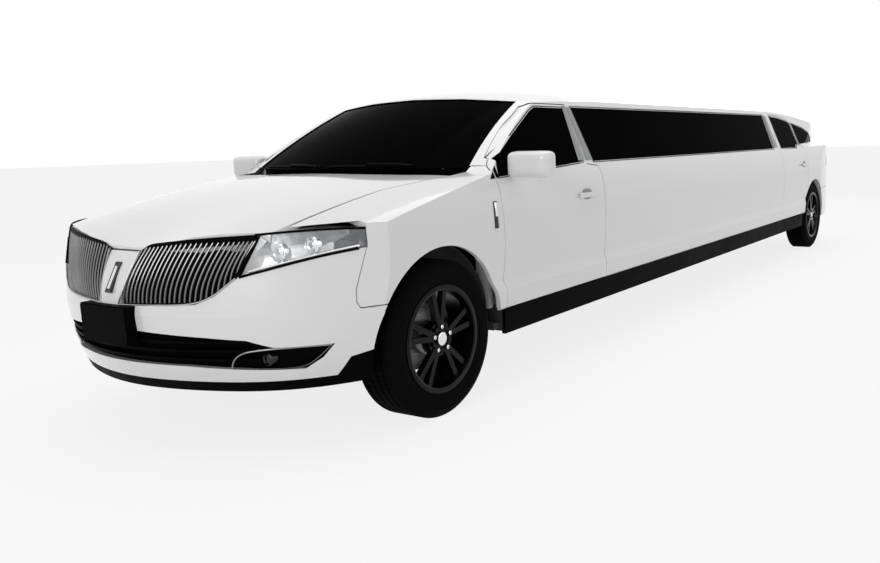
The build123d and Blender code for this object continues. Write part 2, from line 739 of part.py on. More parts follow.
floor = block((-894, 894), (firewall_s[1], rear_step), floor_z)
sill = block(sill_x, (500, 6120), (ground_clearance + 12, sill_top))
floor = floor + sill + mirrored(sill)
floor = floor + block((-tunnel_half, tunnel_half), (firewall_s[1], rear_step), (floor_z[0], tunnel_top))
floor = floor + block((-735, 735), (rear_step - 16, rear_step), (floor_z[0], rear_floor_z[1]))
floor = floor - block((-tunnel_half + tunnel_skin, tunnel_half - tunnel_skin), (0, rear_step + 1),
                      (200, tunnel_top - tunnel_skin))
floor = floor + block((-735, 735), (rear_step - 16, 7560), rear_floor_z)
tub = rod(side_view, rear_axle, wheel_radius, rear_arch + 5 + tub_wall, 540, tub_outer)
tub_room = rod(side_view, rear_axle, wheel_radius, rear_arch + 5, 546, 1100)
low_cut = block((0, 1100), (rear_step - 200, 7300), (-100, floor_z[0]))
tub = tub - low_cut
front_clear = rod(side_view, 0, wheel_radius, front_arch + 14, 480, 1100)
floor = (floor + tub + mirrored(tub)) - tub_room - mirrored(tub_room) - front_clear - mirrored(front_clear)
axle_room = rod(side_view, rear_axle, wheel_radius, axle_r + 10, 500, 600)
write("floor_pan", floor - axle_room - mirrored(axle_room))
trim_x = sill_x[1] + seat
trim_shell = (outer - hull(14)) & block((-1100, 1100), (496, 6130), (200, sill_top - 2))
trim_shell = trim_shell & (block((trim_x, 1100), (0, 8000), (0, 900)) + block((-1100, -trim_x), (0, 8000), (0, 900)))
write("sill_trims", trim_shell - rear_wheel_cut - mirrored(rear_wheel_cut))

cowl_z = (1094, 1106)
cowl_outline = both_sides([(0, 156), (260, 172), (520, 219), (774, 309), (774, 430)])
cowl = top_prism(cowl_outline, *cowl_z)
firewall = block((-780, 780), firewall_s, (floor_z[1] + seat, 1078))
arch_ring = rod(side_view, 0, wheel_radius, front_arch + 14, arch_inner - 12, 860)
arch_ring = arch_ring - rod(side_view, 0, wheel_radius, front_arch + 7, arch_inner, 1100)
arch_ring = arch_ring - block((0, 1100), (-900, 900), (-200, 335))
arch_ring = arch_ring - (block((0, 1100), (0, 900), (0, 1700)) & front_sweep_clear)
apron = block((arch_inner - 12, arch_inner), (-700, 0), (405, 860))
rail = block((410, arch_inner - 12), (-760, firewall_s[0]), (335, 420))
side_frame = arch_ring + apron + rail + upper_arm
structure = firewall + side_frame + mirrored(side_frame)
structure = structure + block((-arch_inner, arch_inner), (-760, -735), (335, 800))
door_room = block((795, 1100), (440, 800), (0, 1700)) + front_sweep_clear
arch_room = rod(side_view, 0, wheel_radius, front_arch + 7, arch_inner, 1100)
structure = (structure - door_room - mirrored(door_room) - arch_room - mirrored(arch_room)
             + upper_arm + mirrored(upper_arm))
structure = structure - block((-tunnel_half, tunnel_half), (firewall_s[0] - 1, firewall_s[1] + 1), (300, tunnel_top))
cowl_post = block((-380, 380), firewall_s, (1000, cowl_z[1]))
write("front_structure", structure + cowl_post + cowl)

# ---------------------------------------------------------------- engine and underbody
engine_foot_x = (280, 300)
engine = block((-300, 300), (-560, 60), (420, 900))
engine = engine + block((12, 78), (20, 120 - seat), (345, 430))
engine_foot = block(engine_foot_x, (-40, 40), (rail_z[1] + seat, 430))
engine = engine + engine_foot + mirrored(engine_foot)
write("engine", engine)
shaft_x, shaft_z, shaft_start = 45, 375, 120
write("propshaft", rod(front_view, shaft_x, shaft_z, 30, -(rear_axle - axle_r - seat), -shaft_start))
tailpipe = rod(front_view, -45, 375, 28, -6080, -150)
hanger_top = tunnel_top - tunnel_skin - seat
for s in (900, 2700, 4500, 5900):
    tailpipe = tailpipe + block((-53, -37), (s, s + 12), (375, hanger_top))
write("exhaust", tailpipe)
write("fuel_tank", block((-700, -150), (5500, 6060), (200, floor_z[0] - seat)))

# ---------------------------------------------------------------- cabin
arch_cover = rod(side_view, 0, wheel_radius, front_arch + 16, 470, 1100)
dashboard = block((-790, 790), (firewall_s[1] + seat, 640), (700, 1040))
dashboard = dashboard - arch_cover - mirrored(arch_cover)
column_tilt = 24
column = Plane(origin=(390, front_axle + 880, 960), x_dir=(1, 0, 0), z_dir=(0, cos(radians(column_tilt)), sin(radians(column_tilt))))
with BuildPart() as steering_wheel:
    with BuildSketch(column.offset(-15)):
        Circle(188)
        Circle(160, mode=Mode.SUBTRACT)
        Rectangle(340, 36)
        Circle(60)
    extrude(amount=30)
    with BuildSketch(column.offset(-150)):
        Circle(16)
    extrude(amount=150)
write("steering_wheel", steering_wheel.part)
with BuildPart() as column_bore:
    with BuildSketch(column.offset(-160)):
        Circle(16.3)
    extrude(amount=200)
rod_along_column = column_bore.part
with BuildPart() as column_case:
    with BuildSketch(column.offset(-330)):
        Circle(32)
    extrude(amount=300)
write("dashboard", (dashboard + column_case.part) - rod_along_column)
seat_half = 260
front_seat = block((400 - seat_half, 400 + seat_half), (1080, 1600), (floor_z[1] + seat, 640))
front_seat = front_seat + block((400 - seat_half, 400 + seat_half), (1560, 1700), (500, 1280))
write("front_seats", front_seat + mirrored(front_seat))
partition_s = (1800, 1830)
tunnel_cover = block((-tunnel_half - 5, tunnel_half + 5), (0, rear_step), (0, tunnel_top + 5))
divider = block((-795, 795), partition_s, (floor_z[1] + seat, 1120)) - tunnel_cover
write("partition", divider)
bench = block((-795, -330), (2100, 5300), (floor_z[1] + seat, 720)) + block((-795, -670), (2100, 5300), (700, 1080))
rear_bench = block((-520, 520), (5950, 6094), (floor_z[1] + seat, 720)) + block((-520, 520), (5500, 6000), (floor_z[1] + seat, 720))
write("lounge_seats", bench + (rear_bench - tunnel_cover))
write("bar_cabinet", block((420, 795), (2300, 4900), (floor_z[1] + seat, 1020)))

# ---------------------------------------------------------------- mirrors and plates
with BuildPart() as mirror_left:
    with BuildSketch(front_view.offset(-545)):
        with Locations((1080, 1155)):
            RectangleRounded(200, 140, 45)
    extrude(amount=-110)
    with BuildSketch(front_view.offset(-575)):
        with Locations((960, 1108)):
            Rectangle(110, 26)
    extrude(amount=-60)
outer_clear = hull(-seat)
mirror_part = mirror_left.part - outer_clear
write("mirror_left", mirror_part)
write("mirror_right", mirrored(mirror_part))
plate_half = (152.5, 76)
plate_thickness = 6
plate_margin = 5
plate_screw_r = 3.5
plate_screw_pitch = 177.8
plate_screw_rise = 63
screw_depth = 24


def plate_holes(centre_z, start, end):
    """Two screw holes near a plate's top edge, between two stations."""
    low, high = -end, -start
    holes = rod(front_view, plate_screw_pitch / 2, centre_z + plate_screw_rise, plate_screw_r, low, high)
    return holes + rod(front_view, -plate_screw_pitch / 2, centre_z + plate_screw_rise, plate_screw_r, low, high)


def plate_with_bracket(centre_z, face, back):
    """A blank plate whose face is at one station, on a bracket that runs to the body at another."""
    inner = face + plate_thickness if back > face else face - plate_thickness
    blank = block((-plate_half[0], plate_half[0]), sorted((face, inner)),
                  (centre_z - plate_half[1], centre_z + plate_half[1]))
    bracket = block((-plate_half[0] - plate_margin, plate_half[0] + plate_margin), sorted((inner, back)),
                    (centre_z - plate_half[1] - plate_margin, centre_z + plate_half[1] + plate_margin))
    return blank + (bracket - outer_clear)


front_plate_z = 568
front_face = -front_overhang - plate_stand
front_plate = plate_with_bracket(front_plate_z, front_face, front_face + 90)
write("front_plate", front_plate - plate_holes(front_plate_z, front_face - 1, front_face + screw_depth))
rear_plate_z = 790
rear_face = rear_axle + rear_overhang
rear_plate = plate_with_bracket(rear_plate_z, rear_face, rear_face - 90)
write("rear_plate", rear_plate - plate_holes(rear_plate_z, rear_face - screw_depth, rear_face + 1))
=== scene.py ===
from math import cos, pi, radians, sin

import bpy
from mathutils import Matrix, Vector


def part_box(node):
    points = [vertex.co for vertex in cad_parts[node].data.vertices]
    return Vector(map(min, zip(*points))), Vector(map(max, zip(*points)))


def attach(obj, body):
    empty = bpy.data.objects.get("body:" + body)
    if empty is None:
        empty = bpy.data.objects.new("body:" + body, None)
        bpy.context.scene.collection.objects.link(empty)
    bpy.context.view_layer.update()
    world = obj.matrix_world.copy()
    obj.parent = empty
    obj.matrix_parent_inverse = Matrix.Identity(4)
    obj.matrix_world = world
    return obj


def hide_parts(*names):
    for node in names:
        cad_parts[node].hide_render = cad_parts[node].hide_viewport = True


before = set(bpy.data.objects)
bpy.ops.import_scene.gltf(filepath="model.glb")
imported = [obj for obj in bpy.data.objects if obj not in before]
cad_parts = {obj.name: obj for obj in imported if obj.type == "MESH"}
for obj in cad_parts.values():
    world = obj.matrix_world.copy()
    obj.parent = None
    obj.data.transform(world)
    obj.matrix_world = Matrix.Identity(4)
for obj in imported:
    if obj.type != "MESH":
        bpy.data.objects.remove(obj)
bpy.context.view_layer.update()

# Camera: a 34 mm view from the car's front left, a little above the mirror.
# The frame's middle is shifted off the lens axis.
camera_data = bpy.data.cameras.new("camera")
camera_data.sensor_width = 36.0
camera_data.lens = 34.234
camera_data.shift_x = -0.16406
camera_data.shift_y = -0.01274
camera = bpy.data.objects.new("camera", camera_data)
bpy.context.scene.collection.objects.link(camera)
camera.location = (3.4064, -6.3521, 1.2687)
camera.rotation_euler = (pi / 2 - 0.154182, 0.0, 0.521981)
camera.rotation_euler.rotate_axis("Z", -0.024823)
bpy.context.scene.camera = camera

# Light: a pale world that shows white behind the car and in its gloss, and large soft
# lamps above and beside it.


def add_node(nodes, kind, operation=None, **values):
    """Adds a shader node with its operation and the values of its inputs."""
    node = nodes.new("ShaderNode" + kind)
    if operation:
        node.operation = operation
    for name, value in values.items():
        node.inputs[name.replace("_", " ")].default_value = value
    return node


def wire(source, output, target, entry):
    """Links one node's output to another node's input."""
    source.id_data.links.new(source.outputs[output], target.inputs[entry])


def seen_ray(nodes):
    """1 for rays seen straight, or by way of metal or glass, which find the backdrop."""
    ray = add_node(nodes, "LightPath")
    mirrored = add_node(nodes, "Math", "MAXIMUM")
    seen = add_node(nodes, "Math", "MAXIMUM")
    wire(ray, "Is Glossy Ray", mirrored, 0)
    wire(ray, "Is Transmission Ray", mirrored, 1)
    wire(ray, "Is Camera Ray", seen, 0)
    wire(mirrored, "Value", seen, 1)
    return seen


def set_ramp(ramp, *stops):
    """Places the two stops of a colour ramp: position and colour of each."""
    for element, (position, colour) in zip(ramp.color_ramp.elements, stops):
        element.position = position
        element.color = (*colour, 1.0)


bpy.context.scene.view_settings.view_transform = "Standard"
world = bpy.data.worlds.new("studio")
bpy.context.scene.world = world
world.use_nodes = True
world_nodes = world.node_tree.nodes
backdrop = world_nodes["Background"]
backdrop.inputs["Color"].default_value = (1.0, 1.0, 1.0, 1.0)
room = add_node(world_nodes, "Background", Strength=0.66)
room_gradient = add_node(world_nodes, "ValToRGB")
set_ramp(room_gradient, (0.0, (0.32, 0.32, 0.33)), (0.9, (0.72, 0.72, 0.73)))
room_height = add_node(world_nodes, "SeparateXYZ")
wire(add_node(world_nodes, "TexCoord"), "Generated", room_height, "Vector")
wire(room_height, "Z", room_gradient, "Fac")
wire(room_gradient, "Color", room, "Color")
world_mix = add_node(world_nodes, "MixShader")
wire(seen_ray(world_nodes), "Value", world_mix, "Fac")
wire(room, "Background", world_mix, 1)
wire(backdrop, "Background", world_mix, 2)
wire(world_mix, "Shader", world_nodes["World Output"], "Surface")
lamp_specs = [
    # name, place, size across and along, watts
    ("ceiling_lamp", (0.0, -0.5, 6.5), (5.0, 12.0), 200.0),
    ("side_lamp", (8.0, -1.0, 3.2), (9.0, 3.0), 85.0),
    ("nose_lamp", (2.5, -11.0, 3.0), (5.0, 2.5), 190.0),
    ("rear_lamp", (-3.0, 10.0, 3.5), (5.0, 3.0), 90.0),
]
for lamp_name, lamp_place, lamp_size, lamp_watts in lamp_specs:
    lamp_data = bpy.data.lights.new(lamp_name, "AREA")
    lamp_data.shape = "RECTANGLE"
    lamp_data.size, lamp_data.size_y = lamp_size
    lamp_data.energy = lamp_watts
    studio_lamp = bpy.data.objects.new(lamp_name, lamp_data)
    bpy.context.scene.collection.objects.link(studio_lamp)
    studio_lamp.location = lamp_place
    aim = Vector((0.0, 0.0, 0.6)) - Vector(lamp_place)
    studio_lamp.rotation_euler = aim.to_track_quat("-Z", "Y").to_euler()

# Studio floor: a wide pale sheet that keeps the car's soft shadow and fades to the
# white behind it.
bpy.ops.object.select_all(action="DESELECT")
bpy.ops.mesh.primitive_plane_add(size=160.0, location=(0.0, 0.0, 0.0))
floor = bpy.context.object
floor.name = "studio_floor"
floor_paint = bpy.data.materials.new("studio_floor")
floor_paint.use_nodes = True
floor_nodes = floor_paint.node_tree.nodes
floor_shader = floor_nodes["Principled BSDF"]
floor_shader.inputs["Base Color"].default_value = (0.85, 0.85, 0.85, 1.0)
floor_shader.inputs["Roughness"].default_value = 0.7
floor_share = add_node(floor_nodes, "Math", "MULTIPLY")
floor_share.inputs[1].default_value = 0.82
floor_mix = add_node(floor_nodes, "MixShader")
wire(seen_ray(floor_nodes), "Value", floor_share, 0)
wire(floor_share, "Value", floor_mix, "Fac")
wire(floor_shader, "BSDF", floor_mix, 1)
wire(add_node(floor_nodes, "Emission"), "Emission", floor_mix, 2)
wire(floor_mix, "Shader", floor_nodes["Material Output"], "Surface")
floor.data.materials.append(floor_paint)


# Underbody: pressed steel floor, rails and linings under a black stone-chip coating,
# dusty where the road reaches it.
def make_finish(name, colour, roughness, metallic=0.0, coat=0.0, grain=400.0, bump=0.1,
                mottle=0.25, cloud=6.0, alpha=1.0, specular=0.5):
    """A finish with a fine grain in its surface and a cloudy change of tone over it."""
    finish = bpy.data.materials.new(name)
    finish.use_nodes = True
    nodes = finish.node_tree.nodes
    shader = nodes["Principled BSDF"]
    place = add_node(nodes, "TexCoord")
    clouds = add_node(nodes, "TexNoise", Scale=cloud, Detail=5.0)
    tone = add_node(nodes, "ValToRGB")
    set_ramp(tone, (0.35, [channel * (1.0 - mottle) for channel in colour]), (0.65, colour))
    rough = add_node(nodes, "MapRange", From_Min=0.3, From_Max=0.7, To_Min=roughness * 0.85,
                     To_Max=min(1.0, roughness * 1.15))
    fine = add_node(nodes, "TexNoise", Scale=grain, Detail=3.0)
    relief = add_node(nodes, "Bump", Strength=bump, Distance=0.001)
    wire(place, "Object", clouds, "Vector")
    wire(place, "Object", fine, "Vector")
    wire(clouds, "Fac", tone, "Fac")
    wire(clouds, "Fac", rough, "Value")
    wire(fine, "Fac", relief, "Height")
    wire(tone, "Color", shader, "Base Color")
    wire(rough, "Result", shader, "Roughness")
    wire(relief, "Normal", shader, "Normal")
    shader.inputs["Metallic"].default_value = metallic
    shader.inputs["Coat Weight"].default_value = coat
    shader.inputs["Coat Roughness"].default_value = 0.04
    shader.inputs["Specular IOR Level"].default_value = specular
    shader.inputs["Alpha"].default_value = alpha
    return finish


def coat_nodes(finish, *names):
    """Gives finished CAD pieces their surface."""
    for name in names:
        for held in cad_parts[name].material_slots:
            held.material = finish


underseal = make_finish("underseal", (0.035, 0.034, 0.032), 0.75, grain=260.0, bump=0.5, cloud=4.0)
coat_nodes(underseal, "floor_pan", "front_structure", "fuel_tank")

# Running gear: forged and cast steel arms, axle and knuckles, bare but for a light
# film of rust and road dirt, with turned brake discs.
cast_steel = make_finish("cast_steel", (0.16, 0.15, 0.145), 0.55, metallic=0.7, grain=180.0,
                         bump=0.5, mottle=0.45, cloud=14.0)
coat_nodes(cast_steel, "front_subframe", "rear_suspension", "knuckle_left", "knuckle_right",
           "engine", "propshaft")
pipe_steel = make_finish("pipe_steel", (0.42, 0.40, 0.38), 0.35, metallic=1.0, mottle=0.3, cloud=9.0)
coat_nodes(pipe_steel, "exhaust")
disc_steel = make_finish("disc_steel", (0.5, 0.5, 0.5), 0.28, metallic=1.0, grain=900.0, mottle=0.15)
coat_nodes(disc_steel, "front_brake_disc_left", "front_brake_disc_right",
           "rear_brake_disc_left", "rear_brake_disc_right")

# Body panels: pressed steel in solid gloss white under a clear lacquer, with a faint
# ripple in the lacquer; the white is a little darker towards the bottom, in soft clouds.
white_paint = bpy.data.materials.new("white_paint")
white_paint.use_nodes = True
paint_nodes = white_paint.node_tree.nodes
paint_shader = paint_nodes["Principled BSDF"]
paint_place = add_node(paint_nodes, "TexCoord")
paint_split = add_node(paint_nodes, "SeparateXYZ")
# the white grows darker towards the bottom, with cloudy noise laid over the change
tone_height = add_node(paint_nodes, "MapRange", From_Min=0.28, From_Max=0.62)
tone_noise = add_node(paint_nodes, "TexNoise", Scale=7.0, Detail=6.0)
tone_sum = add_node(paint_nodes, "Math", "ADD")
paint_tone = add_node(paint_nodes, "ValToRGB")
set_ramp(paint_tone, (0.35, (0.66, 0.66, 0.655)), (1.0, (0.75, 0.75, 0.75)))
ripple = add_node(paint_nodes, "TexNoise", Scale=170.0, Detail=1.0)
ripple_bump = add_node(paint_nodes, "Bump", Strength=0.012, Distance=0.001)
wire(paint_place, "Object", paint_split, "Vector")
wire(paint_place, "Object", tone_noise, "Vector")
wire(paint_place, "Object", ripple, "Vector")
wire(paint_split, "Z", tone_height, "Value")
wire(tone_height, "Result", tone_sum, 0)
wire(tone_noise, "Fac", tone_sum, 1)
wire(tone_sum, "Value", paint_tone, "Fac")
wire(paint_tone, "Color", paint_shader, "Base Color")
wire(ripple, "Fac", ripple_bump, "Height")
wire(ripple_bump, "Normal", paint_shader, "Normal")
paint_shader.inputs["Roughness"].default_value = 0.32
paint_shader.inputs["Coat Weight"].default_value = 1.0
paint_shader.inputs["Coat Roughness"].default_value = 0.03
coat_nodes(white_paint, "hood", "front_bumper", "rear_bumper")


def lined(name, axis):
    """White paint outside, and a soft dark lining on the faces that look into the cabin."""
    finish = white_paint.copy()
    finish.name = name
    nodes = finish.node_tree.nodes
    shader = nodes["Principled BSDF"]
    place = add_node(nodes, "TexCoord")
    outward = add_node(nodes, "VectorMath", "MULTIPLY")
    along = add_node(nodes, "SeparateXYZ")
    inside = add_node(nodes, "MapRange", From_Min=-0.20, From_Max=-0.25)
    weave = add_node(nodes, "TexNoise", Scale=500.0)
    cloth = add_node(nodes, "ValToRGB")
    set_ramp(cloth, (0.0, (0.03, 0.029, 0.028)), (1.0, (0.075, 0.072, 0.07)))
    skin = add_node(nodes, "Mix")
    skin.data_type = "RGBA"
    rough = add_node(nodes, "MapRange", To_Min=0.32, To_Max=0.9)
    # the mix node's colour sockets come after those of its other kinds of data
    mix_factor, mix_outer, mix_inner, mix_result = 0, 6, 7, 2
    wire(shader.inputs["Base Color"].links[0].from_node, "Color", skin, mix_outer)
    wire(place, "Object", outward, 0)
    wire(add_node(nodes, "NewGeometry"), "Normal", outward, 1)
    wire(outward, "Vector", along, "Vector")
    wire(along, axis, inside, "Value")
    wire(place, "Object", weave, "Vector")
    wire(weave, "Fac", cloth, "Fac")
    wire(inside, "Result", skin, mix_factor)
    wire(cloth, "Color", skin, mix_inner)
    wire(skin, mix_result, shader, "Base Color")
    wire(inside, "Result", rough, "Value")
    wire(rough, "Result", shader, "Roughness")
    return finish


coat_nodes(lined("lined_side", "X"), "front_fenders", "body_side_left", "body_side_right", "front_door_left",
           "front_door_right", "rear_door_left", "rear_door_right")
coat_nodes(lined("lined_roof", "Z"), "roof", "tailgate")

# Glass: curved safety glass, tinted almost black all round.
dark_glass = make_finish("dark_glass", (0.002, 0.002, 0.0022), 0.04, grain=2.0, bump=0.01,
                         mottle=0.2, cloud=1.2, alpha=0.985, specular=0.001)
coat_nodes(dark_glass, "windshield", "side_windows", "tailgate_glass", "front_door_glass_left",
           "front_door_glass_right", "rear_door_glass_left", "rear_door_glass_right")

# Lower trims: the lip, sill boards, intake and plates are moulded black plastic with a
# fine leather-like grain.
black_plastic = make_finish("black_plastic", (0.0025, 0.0025, 0.0025), 0.45, grain=520.0, bump=0.25,
                            specular=0.012)
coat_nodes(black_plastic, "front_lip", "sill_trims", "front_intake", "front_plate", "rear_plate")

# Rear lamps: mottled red lenses over the full width of the tail, under a thin clear
# coat.
red_lens = make_finish("red_lens", (0.30, 0.004, 0.004), 0.15, coat=0.3, grain=90.0, bump=0.15,
                       mottle=0.35, cloud=22.0)
coat_nodes(red_lens, "tail_lamps", "tailgate_lamp")

# Tyres: low road tyres in carbon-black rubber, with ribs of blocks round the tread and
# a raised rim guard on each side.
front_low, front_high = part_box("front_tyre_left")
front_axle_y = (front_low.y + front_high.y) / 2
axle_z = (front_low.z + front_high.z) / 2
tyre_r = (front_high.y - front_low.y) / 2
wheel_x = (front_low.x + front_high.x) / 2
rear_low, rear_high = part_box("rear_tyre_left")
rear_axle_y = (rear_low.y + rear_high.y) / 2


def added(primitive, name, scale=(1.0, 1.0, 1.0), **settings):
    """Adds a primitive and puts its place, turn and scale into its mesh."""
    bpy.ops.object.select_all(action="DESELECT")
    primitive(**settings)
    piece = bpy.context.object
    piece.name = name
    piece.scale = scale
    bpy.ops.object.transform_apply(location=True, rotation=True, scale=True)
    return piece


def alone(piece):
    """Leaves edit mode and selects one piece alone."""
    if bpy.context.mode != "OBJECT":
        bpy.ops.object.mode_set(mode="OBJECT")
    bpy.ops.object.select_all(action="DESELECT")
    piece.select_set(True)
    bpy.context.view_layer.objects.active = piece


def pick_faces(piece, wanted):
    """Opens edit mode with the faces selected whose centre and normal are wanted."""
    alone(piece)
    for vertex in piece.data.vertices:
        vertex.select = False
    for edge in piece.data.edges:
        edge.select = False
    for face in piece.data.polygons:
        face.select = wanted(face.center, face.normal)
    bpy.ops.object.mode_set(mode="EDIT")
    bpy.ops.mesh.select_mode(type="FACE")


def edit_all(piece):
    """Opens edit mode with the whole piece selected."""
    alone(piece)
    bpy.ops.object.mode_set(mode="EDIT")
    bpy.ops.mesh.select_all(action="SELECT")


def stepped(steps, direction):
    """Insets the picked face by steps, and moves each new ring along a direction."""
    for inset, move in steps:
        bpy.ops.mesh.inset(thickness=inset)
        bpy.ops.transform.translate(value=move * Vector(direction))


def faces_outward(piece):
    """Turns a piece's normals outward."""
    edit_all(piece)
    bpy.ops.mesh.normals_make_consistent(inside=False)
    bpy.ops.object.mode_set(mode="OBJECT")


def shaped_by(piece, kind, **settings):
    """Adds one modifier and applies it."""
    alone(piece)
    modifier = piece.modifiers.new(kind.lower(), kind)
    for key, value in settings.items():
        setattr(modifier, key, value)
    bpy.ops.object.modifier_apply(modifier=modifier.name)


def finished(piece, body, finish, angle=35):
    """Closes a piece: smooth shading, its surface, and the body that carries it."""
    alone(piece)
    bpy.ops.object.shade_smooth_by_angle(angle=radians(angle))
    piece.data.materials.clear()
    piece.data.materials.append(finish)
    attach(piece, body)
    return piece


def from_axle(x, y, z):
    """Distance of a point from the front wheels' axis."""
    return ((y - front_axle_y) ** 2 + (z - axle_z) ** 2) ** 0.5


rubber = make_finish("tyre_rubber", (0.0038, 0.0038, 0.0038), 0.8, grain=380.0, bump=0.25, mottle=0.35,
                     specular=0.025)
tread_sectors = 72
tread_half = 0.086
groove_half = 0.004
groove_places = (-0.058, -0.020, 0.020, 0.058)
groove_depth = 0.007
block_rise = 0.003
axle_turn = (0, pi / 2, 0)
tyre = added(bpy.ops.mesh.primitive_cylinder_add, "front_tyre_left_dressed", vertices=tread_sectors,
             radius=tyre_r - block_rise, depth=2 * tread_half,
             location=(wheel_x, front_axle_y, axle_z), rotation=axle_turn)
sidewall_steps = (
    # inset, move outward
    (0.013, 0.015), (0.022, 0.010), (0.004, 0.0022), (0.004, -0.0022), (0.022, 0.004),
    (0.040, -0.011), (0.0215, -0.008),
)
for side in (1, -1):
    pick_faces(tyre, lambda centre, normal: normal.x * side > 0.9
               and (centre.x - wheel_x) * side > tread_half - 0.001)
    stepped(sidewall_steps, (side, 0, 0))
    bpy.ops.mesh.delete(type="FACE")
    bpy.ops.object.mode_set(mode="OBJECT")
bpy.ops.object.mode_set(mode="EDIT")
bpy.ops.mesh.select_mode(type="EDGE")
bpy.ops.mesh.select_all(action="DESELECT")
bpy.ops.mesh.select_non_manifold()
bpy.ops.mesh.bridge_edge_loops()
for groove in groove_places:
    for edge_side in (-1, 1):
        bpy.ops.mesh.select_all(action="SELECT")
        bpy.ops.mesh.bisect(plane_co=(wheel_x + groove + edge_side * groove_half, 0, 0),
                            plane_no=(1, 0, 0))
bpy.ops.object.mode_set(mode="OBJECT")
tread_r = tyre_r - block_rise - 0.003
pick_faces(tyre, lambda centre, normal: from_axle(*centre) > tread_r and abs(normal.x) < 0.1
           and any(abs(centre.x - wheel_x - g) < groove_half for g in groove_places))
bpy.ops.mesh.extrude_region_shrink_fatten(TRANSFORM_OT_shrink_fatten={"value": -groove_depth})
bpy.ops.object.mode_set(mode="OBJECT")
pick_faces(tyre, lambda centre, normal: from_axle(*centre) > tread_r and abs(normal.x) < 0.1
           and abs(centre.x - wheel_x) < tread_half
           and not any(abs(centre.x - wheel_x - g) < groove_half + 0.001 for g in groove_places))
bpy.ops.mesh.inset(thickness=0.0018, use_individual=True)
bpy.ops.mesh.extrude_faces_move(TRANSFORM_OT_shrink_fatten={"value": block_rise})
bpy.ops.object.mode_set(mode="OBJECT")
wheel_places = (
    # name, turned about the axle's upright, forward or back
    ("front_left", 0.0, front_axle_y), ("front_right", pi, front_axle_y),
    ("rear_left", 0.0, rear_axle_y), ("rear_right", pi, rear_axle_y),
)


def on_each_wheel(first, stem, finish, replaced=None, angle=30):
    """Copies a piece of the front left wheel to the other three, and hangs all four."""
    copies = [first]
    for corner, turned, axle_y in wheel_places[1:]:
        other = first.copy()
        other.data = first.data.copy()
        bpy.context.scene.collection.objects.link(other)
        alone(other)
        other.matrix_world = (Matrix.Translation((0, axle_y, 0)) @ Matrix.Rotation(turned, 4, "Z")
                              @ Matrix.Translation((0, -front_axle_y, 0)))
        bpy.ops.object.transform_apply(location=True, rotation=True, scale=True)
        copies.append(other)
    for piece, (corner, turned, axle_y) in zip(copies, wheel_places):
        end, side = corner.split("_")
        piece.name = f"{end}_{stem}_{side}_dressed"
        finished(piece, f"{end}_wheel_{side}", finish, angle)
        if replaced:
            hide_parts(f"{end}_{replaced}_{side}")


on_each_wheel(tyre, "tyre", rubber, "tyre")

# Road wheels: cast alloy in gloss black, five pairs of spokes that sweep out to the
# rim's lip, with bright wheel nuts and a plain silver centre cap.
gloss_black = make_finish("gloss_black", (0.002, 0.002, 0.0022), 0.2, grain=900.0, bump=0.05, specular=0.12)
bright_metal = make_finish("bright_metal", (0.78, 0.78, 0.79), 0.13, metallic=1.0, grain=700.0, bump=0.03,
                           mottle=0.08)
coat_nodes(gloss_black, "front_rim_left", "front_rim_right", "rear_rim_left", "rear_rim_right")
nut_x, nut_r, nut_circle_r, nut_count = 0.9215, 0.0105, 0.05715, 5
cap_x, cap_r = 0.9245, 0.031
wheel_nuts = added(bpy.ops.mesh.primitive_cylinder_add, "front_nuts_left", vertices=6, radius=nut_r,
                   depth=0.020, location=(nut_x, front_axle_y, axle_z + nut_circle_r), rotation=axle_turn)
pick_faces(wheel_nuts, lambda centre, normal: normal.x > 0.9)
stepped(((0.003, 0.002), (0.002, -0.006)), (1, 0, 0))
bpy.ops.mesh.select_all(action="SELECT")
for turn in range(1, nut_count):
    bpy.ops.mesh.duplicate()
    bpy.ops.transform.rotate(value=-2 * pi / nut_count, orient_axis="X",
                             center_override=(nut_x, front_axle_y, axle_z))
bpy.ops.object.mode_set(mode="OBJECT")
on_each_wheel(wheel_nuts, "nuts", bright_metal, angle=25)
centre_cap = added(bpy.ops.mesh.primitive_cylinder_add, "front_cap_left", vertices=48, radius=cap_r,
                   depth=0.008, location=(cap_x, front_axle_y, axle_z), rotation=axle_turn)
pick_faces(centre_cap, lambda centre, normal: normal.x > 0.9)
stepped(((0.003, 0.0015), (0.003, -0.0008), (0.008, 0.001), (0.008, 0.0008)), (1, 0, 0))
bpy.ops.object.mode_set(mode="OBJECT")
on_each_wheel(centre_cap, "cap", bright_metal)

# Grille: two wings of leaning grey bars on a black backing, each in a thin polished
# frame, with a plain smoked plaque and a bright bar on the painted bar between them.
nose_tip_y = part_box("front_bumper")[0].y
hood_edge = ((0.0, 0.872), (0.350, 0.914), (0.650, 0.936), (0.850, 0.944), (0.985, 0.930))
crease_z = 0.610
corner_x = 0.650


def height_at(points, x):
    """Height of a run of across and up points at x."""
    for (near_x, near_z), (far_x, far_z) in zip(points, points[1:]):
        if x <= far_x:
            return near_z + (far_z - near_z) * (x - near_x) / (far_x - near_x)
    return points[-1][1]


def nose_line(x):
    """The nose's skin in plan at its crease."""
    x = abs(x)
    return nose_tip_y + 0.45 * x * x + 2.2 * max(0.0, x - corner_x) ** 2


def hood_setback(x):
    """How far the hood's edge stands behind the crease."""
    return 0.115 - 0.09 * x


def nose_y(x, z):
    """The nose's skin between the bumper crease and the hood's edge."""
    x = abs(x)
    rise = (z - crease_z) / (height_at(hood_edge, x) - crease_z)
    return nose_line(x) + hood_setback(x) * (0.9 * rise * rise + 0.1 * rise)


def on_nose(points, back):
    """Across and up points laid on the nose, so far behind its skin."""
    return [(x, nose_y(x, z) + back, z) for x, z in points]


def both_sides(points):
    """A run of points on the car's left and its mirror image on the right."""
    return [points, [(-x, y, z) for x, y, z in points]]


